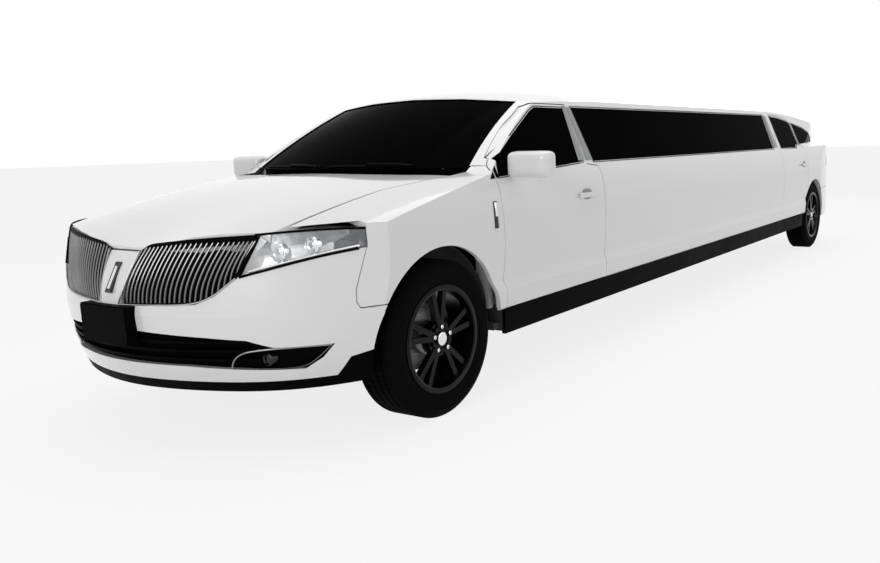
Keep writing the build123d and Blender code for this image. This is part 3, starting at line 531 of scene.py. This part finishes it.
def beading(name, runs, radius, body, finish, smooth=True, closed=False, rise=0.0):
    """Round beading laid along runs of points, or with a rise, a thin wall along them."""
    bpy.ops.object.select_all(action="DESELECT")
    line = bpy.data.curves.new(name, "CURVE")
    line.dimensions = "3D"
    line.bevel_depth = radius
    line.extrude = rise
    line.bevel_resolution = 2
    line.use_fill_caps = True
    for run in runs:
        spline = line.splines.new("NURBS" if smooth else "POLY")
        spline.points.add(len(run) - 1)
        for knot, place in zip(spline.points, run):
            knot.co = (*place, 1.0)
        spline.use_cyclic_u = closed
        if smooth:
            spline.order_u = 3
            spline.use_endpoint_u = not closed
            spline.resolution_u = 4
    bead = bpy.data.objects.new(name, line)
    bpy.context.scene.collection.objects.link(bead)
    alone(bead)
    bpy.ops.object.convert(target="MESH")
    bead = bpy.context.object
    return finished(bead, body, finish, 40)


def copy_of(node, name):
    """A merged copy of a CAD node's mesh, to work on."""
    bpy.ops.object.select_all(action="DESELECT")
    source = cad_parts[node]
    piece = bpy.data.objects.new(name, source.data.copy())
    bpy.context.scene.collection.objects.link(piece)
    piece.data.materials.clear()
    alone(piece)
    bpy.ops.object.mode_set(mode="EDIT")
    bpy.ops.mesh.select_all(action="SELECT")
    bpy.ops.mesh.remove_doubles(threshold=0.00002)
    bpy.ops.object.mode_set(mode="OBJECT")
    return piece


def keep_faces(piece, wanted):
    """Deletes every face that isn't wanted."""
    pick_faces(piece, lambda centre, normal: not wanted(centre, normal))
    bpy.ops.mesh.delete(type="FACE")
    bpy.ops.object.mode_set(mode="OBJECT")


def backing_y(x, z):
    """The plane of the grille's backing, which leans back from the crease."""
    backing_foot_z, backing_depth, backing_slope = 0.600, 0.026, 0.31
    return nose_line(x) + backing_depth + backing_slope * (z - backing_foot_z)


bar_metal = make_finish("bar_metal", (0.22, 0.22, 0.225), 0.28, metallic=1.0, grain=600.0, bump=0.05,
                        mottle=0.15)
frame_metal = make_finish("frame_metal", (0.45, 0.45, 0.455), 0.25, metallic=1.0, grain=600.0, bump=0.05)
grille_back = copy_of("grilles", "grille_backing")
keep_faces(grille_back, lambda centre, normal: abs(normal.x) < 0.75
           and centre.y > backing_y(centre.x, centre.z) - 0.003)
finished(grille_back, "car_body", black_plastic)
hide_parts("grilles")
wing_low = ((0.055, 0.650), (0.434, 0.664), (0.510, 0.698), (0.555, 0.737), (0.590, 0.767), (0.640, 0.900))
wing_high = ((0.055, 0.800), (0.106, 0.862), (0.118, 0.872), (0.172, 0.892), (0.350, 0.911), (0.490, 0.922),
             (0.662, 0.932))


bar_count, bar_pitch, first_bar_x, bar_r = 25, 0.0222, 0.066, 0.0043
bar_steps = 6
bar_runs = []
for k in range(bar_count):
    foot_x = first_bar_x + bar_pitch * k
    foot_z = height_at(wing_low, foot_x) + 0.004
    lean = 0.20 + 0.33 * foot_x
    head_z = 0.900
    for trial in range(4):
        head_z = height_at(wing_high, foot_x + lean * (head_z - foot_z)) - 0.003
    run = []
    for j in range(bar_steps + 1):
        part = j / bar_steps
        x = foot_x + lean * (head_z - foot_z) * part ** 1.3
        z = foot_z + (head_z - foot_z) * part
        run.append((x, nose_y(x, z) + 0.006 + 0.014 * (1 - part) ** 4, z))
    bar_runs += both_sides(run)
grille_bars = beading("grille_bars", bar_runs, bar_r, "car_body", bar_metal)
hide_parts("grilles")
# Painted shade: a thin black wall in front of the hood's front face, standing for the shade under the hood's
# edge above the grille
shade_rise, shade_steps, shade_start = 0.017, 14, 0.105
shade_run = []
for k in range(shade_steps + 1):
    x = shade_start + (corner_x - shade_start) * k / shade_steps
    shade_run.append((x, nose_line(x) + hood_setback(x) - 0.006, height_at(wing_high, x) - shade_rise))
beading("grille_top_shade", both_sides(shade_run), 0.0012, "car_body", black_plastic,
        rise=shade_rise)
wing_bottom = [(0.060, 0.650), (0.250, 0.655), (0.436, 0.662), (0.512, 0.696), (0.557, 0.736), (0.590, 0.765)]
wing_outer = [(0.590, 0.765), (0.612, 0.820), (0.640, 0.880)]
wing_inner = [(0.060, 0.650), (0.082, 0.740), (0.106, 0.862)]
frame_back = -0.002
polished_runs = both_sides(on_nose(wing_bottom, frame_back)) + both_sides(on_nose(wing_inner, frame_back))
beading("grille_frames", polished_runs, 0.0032, "car_body", frame_metal)
beading("grille_dark_edges", both_sides(on_nose(wing_outer, frame_back)), 0.005, "car_body", black_plastic)
smoked_metal = make_finish("smoked_metal", (0.05, 0.05, 0.052), 0.3, metallic=1.0, grain=600.0, bump=0.05)
plaque_specs = (
    # name, size across, through and up, how far ahead, surface
    ("nose_plaque", (0.036, 0.010, 0.135), 0.002, smoked_metal),
    ("nose_plaque_bar", (0.015, 0.006, 0.100), 0.007, bright_metal),
)
plaque_foot, plaque_z, plaque_head = 0.690, 0.755, 0.820
nose_lean = (nose_y(0.0, plaque_head) - nose_y(0.0, plaque_foot)) / (plaque_head - plaque_foot)
for plaque_name, plaque_size, ahead, plaque_finish in plaque_specs:
    plaque = added(bpy.ops.mesh.primitive_cube_add, plaque_name, plaque_size, size=1.0,
                   location=(0.0, nose_y(0.0, plaque_z) - ahead, plaque_z), rotation=(-nose_lean, 0.0, 0.0))
    pick_faces(plaque, lambda centre, normal: normal.y < -0.6)
    stepped(((0.003, 0.002),), (0, 1, 0))
    bpy.ops.object.mode_set(mode="OBJECT")
    shaped_by(plaque, "BEVEL", width=0.002, segments=2)
    finished(plaque, "car_body", plaque_finish)

# Headlamps: a clear moulded cover over a satin bowl with a smoked outer end, two round
# projectors and a bright reflector strip on each side, edged in black.


def lamp_skin(centre, normal):
    """Whether a face of the headlamp shows from the front, the side or above."""
    side = 1 if centre.x > 0 else -1
    return normal.y < -0.15 or normal.x * side > 0.3 or (0.3 < normal.z < 0.999 and centre.z > 0.9)


clear_cover = make_finish("clear_cover", (0.9, 0.92, 0.94), 0.03, coat=1.0, grain=2.0, bump=0.01,
                          mottle=0.03, alpha=0.10)
lamp_chrome = make_finish("lamp_chrome", (0.88, 0.89, 0.90), 0.10, metallic=1.0, grain=300.0, bump=0.05,
                          mottle=0.1, cloud=30.0)
lamp_bowl = make_finish("lamp_bowl", (0.86, 0.87, 0.88), 0.22, metallic=0.55, grain=300.0, mottle=0.3,
                        cloud=26.0)
lamp_smoke = make_finish("lamp_smoke", (0.05, 0.05, 0.052), 0.25, metallic=0.3, grain=300.0, mottle=0.4,
                         cloud=18.0)
lamp_cover = copy_of("headlamps", "headlamp_covers")
keep_faces(lamp_cover, lamp_skin)
shaped_by(lamp_cover, "SOLIDIFY", thickness=0.003, offset=-1.0)
finished(lamp_cover, "car_body", clear_cover, 50)
lamp_split = 0.825
house_specs = (
    # name, surface, whether it is the outer end
    ("headlamp_bowls", lamp_bowl, False), ("headlamp_ends", lamp_smoke, True),
)
for house_name, house_finish, outer_end in house_specs:
    lamp_house = copy_of("headlamps", house_name)
    bpy.ops.object.mode_set(mode="EDIT")
    for side in (-1, 1):
        bpy.ops.mesh.select_all(action="SELECT")
        bpy.ops.mesh.bisect(plane_co=(side * lamp_split, 0, 0), plane_no=(1, 0, 0))
    bpy.ops.object.mode_set(mode="OBJECT")
    keep_faces(lamp_house, lambda centre, normal: not lamp_skin(centre, normal)
               and (abs(centre.x) > lamp_split) == outer_end)
    shaped_by(lamp_house, "SOLIDIFY", thickness=0.002, offset=-1.0)
    finished(lamp_house, "car_body", house_finish)
    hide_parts("headlamps")
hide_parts("headlamps")
projector_depth = 0.030
projector_specs = (
    # name, across, up, radius
    ("projectors_inner", 0.705, 0.858, 0.036), ("projectors_outer", 0.792, 0.880, 0.033),
)
for projector_name, across, up, radius in projector_specs:
    face_y = nose_y(across, up) + 0.022
    projector = added(bpy.ops.mesh.primitive_cylinder_add, projector_name, vertices=48, radius=radius,
                      depth=projector_depth, location=(across, face_y + projector_depth / 2, up),
                      rotation=(pi / 2, 0, 0))
    pick_faces(projector, lambda centre, normal: normal.y < -0.9)
    stepped(((0.002, -0.001), (0.003, 0.010), (0.006, 0.003), (0.003, -0.005), (0.006, -0.005)), (0, 1, 0))
    bpy.ops.object.mode_set(mode="OBJECT")
    shaped_by(projector, "MIRROR", use_axis=(True, False, False))
    faces_outward(projector)
    finished(projector, "car_body", lamp_chrome)
    ring, ring_r, ring_steps = [], radius * 1.12, 12
    for k in range(ring_steps + 1):
        turn = 2 * pi * k / ring_steps
        ring.append((across + ring_r * cos(turn), face_y + 0.006, up + ring_r * sin(turn)))
    beading(projector_name + "_rings", both_sides(ring), 0.0035, "car_body", lamp_chrome)
low_edge = [(0.625, 0.786), (0.700, 0.806), (0.770, 0.827), (0.840, 0.848), (0.900, 0.864)]
beading("headlamp_strips", both_sides(on_nose(low_edge, 0.014)), 0.007, "car_body", lamp_chrome)
lamp_edge = [(0.602, 0.768), (0.680, 0.790), (0.759, 0.814), (0.841, 0.839), (0.905, 0.853)]
lamp_inner = [(0.602, 0.768), (0.630, 0.840), (0.657, 0.925)]
lamp_top = [(0.640, 0.930), (0.700, 0.936), (0.780, 0.940), (0.860, 0.940), (0.915, 0.934)]
seal_runs = []
for edge in (lamp_edge, lamp_inner, lamp_top):
    seal_runs += both_sides(on_nose(edge, -0.001))
beading("headlamp_seals", seal_runs, 0.005, "car_body", black_plastic)

# Window seals and pillar strips: black rubber round each side window, and brushed
# light-grey strips on the pillars at both ends of the long window.


def ray_hit(node, start, towards):
    """Where a ray first meets a CAD node, or None."""
    hit, place, normal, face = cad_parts[node].ray_cast(Vector(start), Vector(towards))
    return place if hit else None


belt_x, belt_z, window_slope = 0.903, 1.140, 0.4232


def skin_x(y, z, node):
    """How far out the left-hand skin stands at y and z, also across a window's opening."""
    place = ray_hit(node, (2.0, y, z), (-1.0, 0.0, 0.0))
    return place.x if place else belt_x - (z - belt_z) * window_slope


def on_skin(outline, node, lift):
    """Station and height points laid on the left-hand skin."""
    return [(skin_x(front_axle_y + s, z, node) + lift, front_axle_y + s, z) for s, z in outline]


car_sides = (("left", 1), ("right", -1))


def carrier(body, side):
    """The body that carries a piece on one side of the car."""
    return body if body == "car_body" else f"{body}_{side}"


rubber_seal = make_finish("rubber_seal", (0.012, 0.012, 0.012), 0.5, grain=700.0, bump=0.2)
brushed_grey = make_finish("brushed_grey", (0.26, 0.265, 0.27), 0.34, metallic=0.8, grain=500.0, bump=0.1,
                           mottle=0.12)
front_seal = [
    (0.494, 1.090), (0.900, 1.112), (1.345, 1.135), (1.405, 1.140), (1.419, 1.467), (1.088, 1.467),
    (1.022, 1.443), (0.748, 1.306), (0.536, 1.194),
]
rear_seal = [
    (5.426, 1.135), (5.972, 1.130), (6.004, 1.162), (6.084, 1.164), (6.070, 1.394), (5.950, 1.422),
    (5.700, 1.449), (5.426, 1.464),
]
long_seal = [(1.526, 1.136), (3.350, 1.136), (5.183, 1.136), (5.231, 1.474), (3.350, 1.474), (1.494, 1.474)]
quarter_seal = [
    (6.124, 1.166), (6.500, 1.175), (6.906, 1.185), (6.856, 1.241), (6.680, 1.296), (6.500, 1.346),
    (6.300, 1.374), (6.118, 1.398),
]
seal_specs = (
    # name, outline, the panel that it lies on, body
    ("front_door_seal", front_seal, "front_door_left", "front_door"),
    ("rear_door_seal", rear_seal, "rear_door_left", "rear_door"),
    ("long_window_seal", long_seal, "body_side_left", "car_body"),
    ("quarter_window_seal", quarter_seal, "body_side_left", "car_body"),
)
for seal_name, outline, panel, body in seal_specs:
    for (side, flip), run in zip(car_sides, both_sides(on_skin(outline, panel, -0.001))):
        beading(f"{seal_name}_{side}", [run], 0.0045, carrier(body, side), rubber_seal,
                smooth=False, closed=True)


def strip(name, corners, panel, body, finish, thick=0.003, lift=0.0006):
    """A flat strip on the left-hand skin and its twin on the right."""
    for (side, flip), places in zip(car_sides, both_sides(on_skin(corners, panel, lift))):
        plate = added(bpy.ops.mesh.primitive_plane_add, f"{name}_{side}", size=1.0)
        plane_order = (0, 1, 3, 2)
        for vertex, corner in zip(plate.data.vertices, plane_order):
            vertex.co = places[corner]
        faces_outward(plate)
        if plate.data.polygons[0].normal.x * flip < 0:
            edit_all(plate)
            bpy.ops.mesh.flip_normals()
            bpy.ops.object.mode_set(mode="OBJECT")
        shaped_by(plate, "SOLIDIFY", thickness=thick, offset=1.0)
        shaped_by(plate, "BEVEL", width=0.001, segments=2)
        finished(plate, carrier(body, side), finish)


strip("door_pillar_strip", ((1.352, 1.150), (1.426, 1.150), (1.432, 1.476), (1.400, 1.476)),
      "front_door_left", "front_door", brushed_grey)
strip("body_pillar_strip", ((1.446, 1.150), (1.520, 1.150), (1.488, 1.468), (1.446, 1.468)),
      "body_side_left", "car_body", brushed_grey)
strip("rear_pillar_strip", ((5.192, 1.150), (5.315, 1.150), (5.315, 1.464), (5.240, 1.464)),
      "body_side_left", "car_body", brushed_grey)

# Door handles: painted pull bars on two feet, each over a shallow cup in brushed grey.
# They swing with their doors.
handle_z, handle_half, foot_reach = 0.952, 0.105, 0.015
for end, station in (("front", 1.350), ("rear", 6.110)):
    handle_y = front_axle_y + station
    face_x = skin_x(handle_y, handle_z, f"{end}_door_left")
    for side, flip in car_sides:
        pull = added(bpy.ops.mesh.primitive_cube_add, f"{end}_door_handle_{side}",
                     (0.014, 2 * handle_half, 0.030), size=1.0,
                     location=(flip * (face_x + 0.023), handle_y, handle_z))
        edit_all(pull)
        bpy.ops.mesh.subdivide(number_cuts=3)
        pick_faces(pull, lambda centre, normal: normal.x * flip < -0.9
                   and abs(abs(centre.y - handle_y) - 0.75 * handle_half) < 0.27 * handle_half)
        bpy.ops.mesh.extrude_region_move(TRANSFORM_OT_translate={"value": (-flip * foot_reach, 0, 0)})
        shaped_by(pull, "SUBSURF", levels=2, render_levels=2)
        finished(pull, f"{end}_door_{side}", white_paint, 60)
        cup = added(bpy.ops.mesh.primitive_uv_sphere_add, f"{end}_handle_cup_{side}", (0.006, 0.130, 0.070),
                    segments=24, ring_count=12, radius=0.5,
                    location=(flip * (face_x + 0.0005), handle_y, handle_z))
        finished(cup, f"{end}_door_{side}", brushed_grey, 60)

# Mirrors: painted pods on short painted feet, with a flat silvered glass facing back.
mirror_glass = make_finish("mirror_glass", (0.80, 0.82, 0.84), 0.03, metallic=1.0, grain=2.0, bump=0.0)
pod_low, pod_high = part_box("mirror_left")
pod_mid = (pod_low + pod_high) / 2
pod_x, pane_x = 1.054, 1.075


def small_block(name, size, bevel, segments, body, finish, slot, **place):
    """A bevelled block of one surface."""
    piece = added(bpy.ops.mesh.primitive_cube_add, name, size, size=1.0, **place)
    shaped_by(piece, "BEVEL", width=bevel, segments=segments)
    return finished(piece, body, finish)


for side, flip in car_sides:
    pod = added(bpy.ops.mesh.primitive_cube_add, f"mirror_pod_{side}", (0.252, 0.100, 0.136), size=1.0,
                location=(flip * pod_x, pod_mid.y, pod_mid.z))
    edit_all(pod)
    bpy.ops.mesh.subdivide(number_cuts=2)
    pick_faces(pod, lambda centre, normal: normal.y < -0.9)
    bpy.ops.transform.resize(value=(0.86, 1.0, 0.80), center_override=(flip * 1.040, pod_low.y, pod_mid.z))
    pick_faces(pod, lambda centre, normal: normal.y > 0.9)
    stepped(((0.010, -0.012),), (0, 1, 0))
    shaped_by(pod, "SUBSURF", levels=3, render_levels=3)
    finished(pod, f"front_door_{side}", white_paint, 60)
    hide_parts(f"mirror_{side}")
    small_block(f"mirror_pane_{side}", (0.165, 0.004, 0.105), 0.0018, 2, f"front_door_{side}", mirror_glass,
                "bright_grille", location=(flip * pane_x, pod_high.y - 0.018, pod_mid.z))
    foot_run = [(flip * 0.902, pod_mid.y + 0.02, 1.098), (flip * 0.950, pod_mid.y + 0.01, 1.100),
                (flip * 1.010, pod_mid.y, 1.120)]
    beading(f"mirror_foot_{side}", [foot_run], 0.020, f"front_door_{side}", white_paint)

# Fender plaques: plain upright bars behind the front wheels, smoked with a bright upper
# half, and the black corner panel at the foot of each front door window.
strip("fender_plaque", ((0.406, 0.846), (0.434, 0.846), (0.434, 0.980), (0.406, 0.980)),
      "front_fenders", "car_body", smoked_metal, thick=0.004, lift=0.001)
strip("fender_plaque_bar", ((0.411, 0.905), (0.429, 0.905), (0.429, 0.975), (0.411, 0.975)),
      "front_fenders", "car_body", bright_metal, thick=0.003, lift=0.005)
strip("window_corner", ((0.424, 1.088), (0.465, 1.091), (0.465, 1.124), (0.445, 1.107)),
      "front_fenders", "car_body", black_plastic, lift=0.001)
strip("door_corner", ((0.478, 1.092), (0.502, 1.095), (0.502, 1.152), (0.478, 1.132)),
      "front_door_left", "front_door", black_plastic, lift=0.001)

# Wipers: two black arms and blades parked along the foot of the windshield.


def on_windshield(x, s, lift):
    """A point over the windshield's glass, or over the cowl where there is none."""
    place = ray_hit("windshield", (x, front_axle_y + s, 2.2), (0.0, 0.0, -1.0))
    return (x, front_axle_y + s, (place.z if place else 1.150) + lift)


def glass_foot(x):
    """Where the glass starts, measured back from the front wheels."""
    middle_station, foot_bow, foot_half = 0.200, 0.146, 0.781
    return middle_station + foot_bow * (x / foot_half) ** 2


blade_steps = 8
for wiper_name, pivot_x, tip_x in (("wiper_left", 0.520, -0.060), ("wiper_right", -0.080, -0.640)):
    blade_run = []
    for k in range(blade_steps + 1):
        x = pivot_x + (tip_x - pivot_x) * k / blade_steps
        blade_run.append(on_windshield(x, glass_foot(x) + 0.075 + 0.030 * k / blade_steps, 0.010))
    beading(f"{wiper_name}_blade", [blade_run], 0.007, "car_body", black_plastic)
    arm_run = [on_windshield(pivot_x + 0.02, glass_foot(pivot_x) + 0.030, 0.012),
               on_windshield(pivot_x * 0.7 + tip_x * 0.3, glass_foot(pivot_x) + 0.062, 0.022),
               on_windshield((pivot_x + tip_x) / 2, glass_foot((pivot_x + tip_x) / 2) + 0.090, 0.020)]
    beading(f"{wiper_name}_arm", [arm_run], 0.008, "car_body", black_plastic)

# Front fog lamps: smoked round lamps in the black pockets, with a grey arc over each
# pocket and a dark edge under it.


def on_chin(points, back):
    """Across and up points laid on the skin under the crease, so far behind it."""
    chin_height, tuck = 0.322, 0.075
    return [(x, nose_line(x) + tuck * ((crease_z - z) / chin_height) ** 2 + back, z) for x, z in points]


arc_top = [(0.530, 0.392), (0.541, 0.425), (0.580, 0.458), (0.640, 0.470), (0.720, 0.474), (0.838, 0.468)]
arc_low = [(0.530, 0.392), (0.640, 0.387), (0.760, 0.382), (0.803, 0.420), (0.832, 0.460)]
beading("fog_arcs", both_sides(on_chin(arc_top, 0.004)), 0.0036, "car_body", brushed_grey)
beading("fog_edges", both_sides(on_chin(arc_low, 0.004)), 0.0030, "car_body", smoked_metal)
fog_place, fog_r, fog_depth = (0.664, 0.430), 0.027, 0.030
fog_lamp = added(bpy.ops.mesh.primitive_cylinder_add, "fog_lamps", vertices=40, radius=fog_r, depth=fog_depth,
                 location=on_chin([fog_place], 0.022)[0], rotation=(pi / 2, 0, 0))
pick_faces(fog_lamp, lambda centre, normal: normal.y < -0.9)
stepped(((0.003, -0.002), (0.003, 0.006), (0.008, -0.003), (0.009, -0.002)), (0, 1, 0))
shaped_by(fog_lamp, "MIRROR", use_axis=(True, False, False))
faces_outward(fog_lamp)
finished(fog_lamp, "car_body", smoked_metal)

# Upholstery: stitched black leather over foam. Each cushion is crowned, with a sewn
# seam round its top, and the benches are rows of separate cushions on a plinth.
leather = make_finish("leather", (0.030, 0.028, 0.027), 0.48, grain=330.0, bump=0.35, mottle=0.3, cloud=9.0)


def cushion(name, low, high, top, replaced=None):
    """A crowned, seamed cushion between two corners, its sewn face towards top."""
    low, high = Vector(low), Vector(high)
    pad = added(bpy.ops.mesh.primitive_cube_add, name, high - low, size=1.0, location=(low + high) / 2)
    edit_all(pad)
    bpy.ops.mesh.subdivide(number_cuts=3)
    bpy.ops.transform.tosphere(value=0.06)
    pick_faces(pad, lambda centre, normal: normal.dot(Vector(top)) > 0.75)
    bpy.ops.mesh.inset(thickness=0.012)
    bpy.ops.mesh.inset(thickness=0.005, depth=-0.006)
    bpy.ops.mesh.inset(thickness=0.005, depth=0.006)
    shaped_by(pad, "SUBSURF", levels=2, render_levels=2)
    # the crown stays inside the space between the corners
    points = [vertex.co for vertex in pad.data.vertices]
    reach_low = Vector([min(p[k] for p in points) for k in range(3)])
    reach_high = Vector([max(p[k] for p in points) for k in range(3)])
    for vertex in pad.data.vertices:
        for k in range(3):
            share = (vertex.co[k] - reach_low[k]) / (reach_high[k] - reach_low[k])
            vertex.co[k] = low[k] + share * (high[k] - low[k])
    finished(pad, "car_body", leather, 60)
    if replaced:
        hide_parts(replaced)


seat_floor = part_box("front_seats")[0].z
seat_y = front_axle_y + 1.080
seat_x, front_plinth_top = 0.400, 0.505
for seat_name, flip in car_sides:
    middle = flip * seat_x
    cushion(f"front_seat_{seat_name}_cushion", (middle - 0.255, seat_y + 0.010, 0.500),
            (middle + 0.255, seat_y + 0.500, 0.640), (0, 0, 1), replaced="front_seats")
    cushion(f"front_seat_{seat_name}_back", (middle - 0.245, seat_y + 0.485, 0.560),
            (middle + 0.245, seat_y + 0.610, 1.090), (0, -1, 0))
    cushion(f"front_seat_{seat_name}_headrest", (middle - 0.130, seat_y + 0.500, 1.125),
            (middle + 0.130, seat_y + 0.600, 1.275), (0, -1, 0))
    beading(f"front_seat_{seat_name}_posts",
            [[(middle + post, seat_y + 0.550, 1.080), (middle + post, seat_y + 0.550, 1.150)]
             for post in (-0.055, 0.055)], 0.006, "car_body", bright_metal, smooth=False)
    small_block(f"front_seat_{seat_name}_plinth", (0.440, 0.440, front_plinth_top - seat_floor), 0.012, 3,
                "car_body", black_plastic, "black_plastic",
                location=(middle, seat_y + 0.260, (seat_floor + front_plinth_top) / 2))
lounge_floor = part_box("lounge_seats")[0].z
bench_start, bench_end = front_axle_y + 2.100, front_axle_y + 5.300
bench_count = 5
bench_pitch = (bench_end - bench_start) / bench_count
pad_seam, pad_foot, pad_top, back_foot = 0.003, 0.560, 0.720, 0.600
for k in range(bench_count):
    start, end = bench_start + k * bench_pitch + pad_seam, bench_start + (k + 1) * bench_pitch - pad_seam
    cushion(f"lounge_cushion_{k + 1}", (-0.680, start, pad_foot), (-0.330, end, pad_top), (0, 0, 1),
            replaced="lounge_seats")
    cushion(f"lounge_back_{k + 1}", (-0.793, start, back_foot), (-0.675, end, 1.080), (1, 0, 0))
sofa_pitch = 0.521
for k in range(2):
    inner_x, outer_x = -0.520 + sofa_pitch * k, -0.001 + sofa_pitch * k
    cushion(f"rear_cushion_{k + 1}", (inner_x, front_axle_y + 5.500, pad_foot),
            (outer_x, front_axle_y + 6.000, pad_top), (0, 0, 1))
    cushion(f"rear_back_{k + 1}", (inner_x, front_axle_y + 5.960, back_foot),
            (outer_x, front_axle_y + 6.092, 1.100), (0, -1, 0))
plinth_top = 0.563
sofa_start, sofa_end = front_axle_y + 5.510, front_axle_y + 6.085
plinth_specs = (
    # name, lower corner, upper corner
    ("lounge_plinth", (-0.780, bench_start + 0.005, lounge_floor), (-0.345, bench_end - 0.005, plinth_top)),
    ("rear_seat_plinth_left", (0.120, sofa_start, lounge_floor), (0.510, sofa_end, plinth_top)),
    ("rear_seat_plinth_right", (-0.510, sofa_start, lounge_floor), (-0.120, sofa_end, plinth_top)),
    ("rear_seat_plinth_middle", (-0.125, sofa_start, 0.456), (0.125, sofa_end, plinth_top)),
)
for plinth_name, low, high in plinth_specs:
    low, high = Vector(low), Vector(high)
    small_block(plinth_name, high - low, 0.006, 2, "car_body", leather, "leather", location=(low + high) / 2)

# Cabin fittings: the dashboard is soft black plastic, the bar and the partition are
# dark lacquered wood with a bright rail.
lacquered_wood = make_finish("lacquered_wood", (0.055, 0.028, 0.016), 0.18, coat=1.0, grain=120.0, bump=0.06,
                             mottle=0.6, cloud=12.0)
coat_nodes(black_plastic, "dashboard")
coat_nodes(lacquered_wood, "bar_cabinet", "partition")
bar_low, bar_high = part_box("bar_cabinet")
beading("bar_rail", [[(bar_low.x + 0.020, bar_low.y + 0.020, bar_high.z + 0.004),
                      (bar_low.x + 0.020, bar_high.y - 0.020, bar_high.z + 0.004)]], 0.008, "car_body",
        bright_metal, smooth=False)
column_tilt = radians(24)
wheel_centre = Vector((0.390, front_axle_y + 0.880, 0.960))
column_turn = (column_tilt - pi / 2, 0, 0)
hand_wheel = added(bpy.ops.mesh.primitive_torus_add, "steering_wheel_rim", major_radius=0.174,
                   minor_radius=0.0135, major_segments=64, minor_segments=14, location=wheel_centre,
                   rotation=column_turn)
finished(hand_wheel, "steering_wheel", leather, 60)
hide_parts("steering_wheel")
small_block("steering_wheel_boss", (0.330, 0.034, 0.016), 0.006, 3, "steering_wheel", black_plastic,
            "black_plastic", location=wheel_centre, rotation=column_turn)
wheel_pad = added(bpy.ops.mesh.primitive_cylinder_add, "steering_wheel_pad", vertices=48, radius=0.062,
                  depth=0.030, location=wheel_centre, rotation=column_turn)
shaped_by(wheel_pad, "BEVEL", width=0.008, segments=3)
finished(wheel_pad, "steering_wheel", black_plastic)
down_column = Vector((0.0, cos(column_tilt), sin(column_tilt)))
beading("steering_shaft", [[wheel_centre - 0.01 * down_column, wheel_centre - 0.145 * down_column]], 0.0155,
        "steering_wheel", cast_steel, smooth=False)

# Tail: a bright bar over the rear plate, a high brake lamp above the glass, red
# reflectors in the bumper and a pair of polished exhaust tips under it.


def on_tail(across, z, node, lift=0.0):
    """Points at one height laid on the tail's skin."""
    return [(x, ray_hit(node, (x, 6.0, z), (0.0, -1.0, 0.0)).y + lift, z) for x in across]


gate_bar = on_tail((-0.42, -0.28, -0.14, 0.0, 0.14, 0.28, 0.42), 0.884, "tailgate", 0.003)
beading("tailgate_bar", [gate_bar], 0.009, "tailgate", bright_metal)
high_lamp = on_tail((-0.20, -0.10, 0.0, 0.10, 0.20), 1.452, "tailgate", 0.001)
beading("high_brake_lamp", [high_lamp], 0.009, "tailgate", red_lens)
reflector_run = on_tail((0.50, 0.57, 0.64, 0.71), 0.470, "rear_bumper", 0.001)
beading("rear_reflectors", both_sides(reflector_run), 0.011, "car_body", red_lens)
tip_x, tip_z, tip_r, tip_depth, tip_bore = 0.480, 0.352, 0.036, 0.160, 0.060
tip_end = on_tail((tip_x,), 0.400, "rear_bumper")[0][1]
exhaust_tips = added(bpy.ops.mesh.primitive_cylinder_add, "exhaust_tips", vertices=40, radius=tip_r,
                     depth=tip_depth, location=(tip_x, tip_end - 0.085, tip_z), rotation=(pi / 2, 0, 0))
pick_faces(exhaust_tips, lambda centre, normal: normal.y > 0.9)
stepped(((0.003, -tip_bore),), (0, 1, 0))
shaped_by(exhaust_tips, "MIRROR", use_axis=(True, False, False))
faces_outward(exhaust_tips)
finished(exhaust_tips, "car_body", bright_metal)
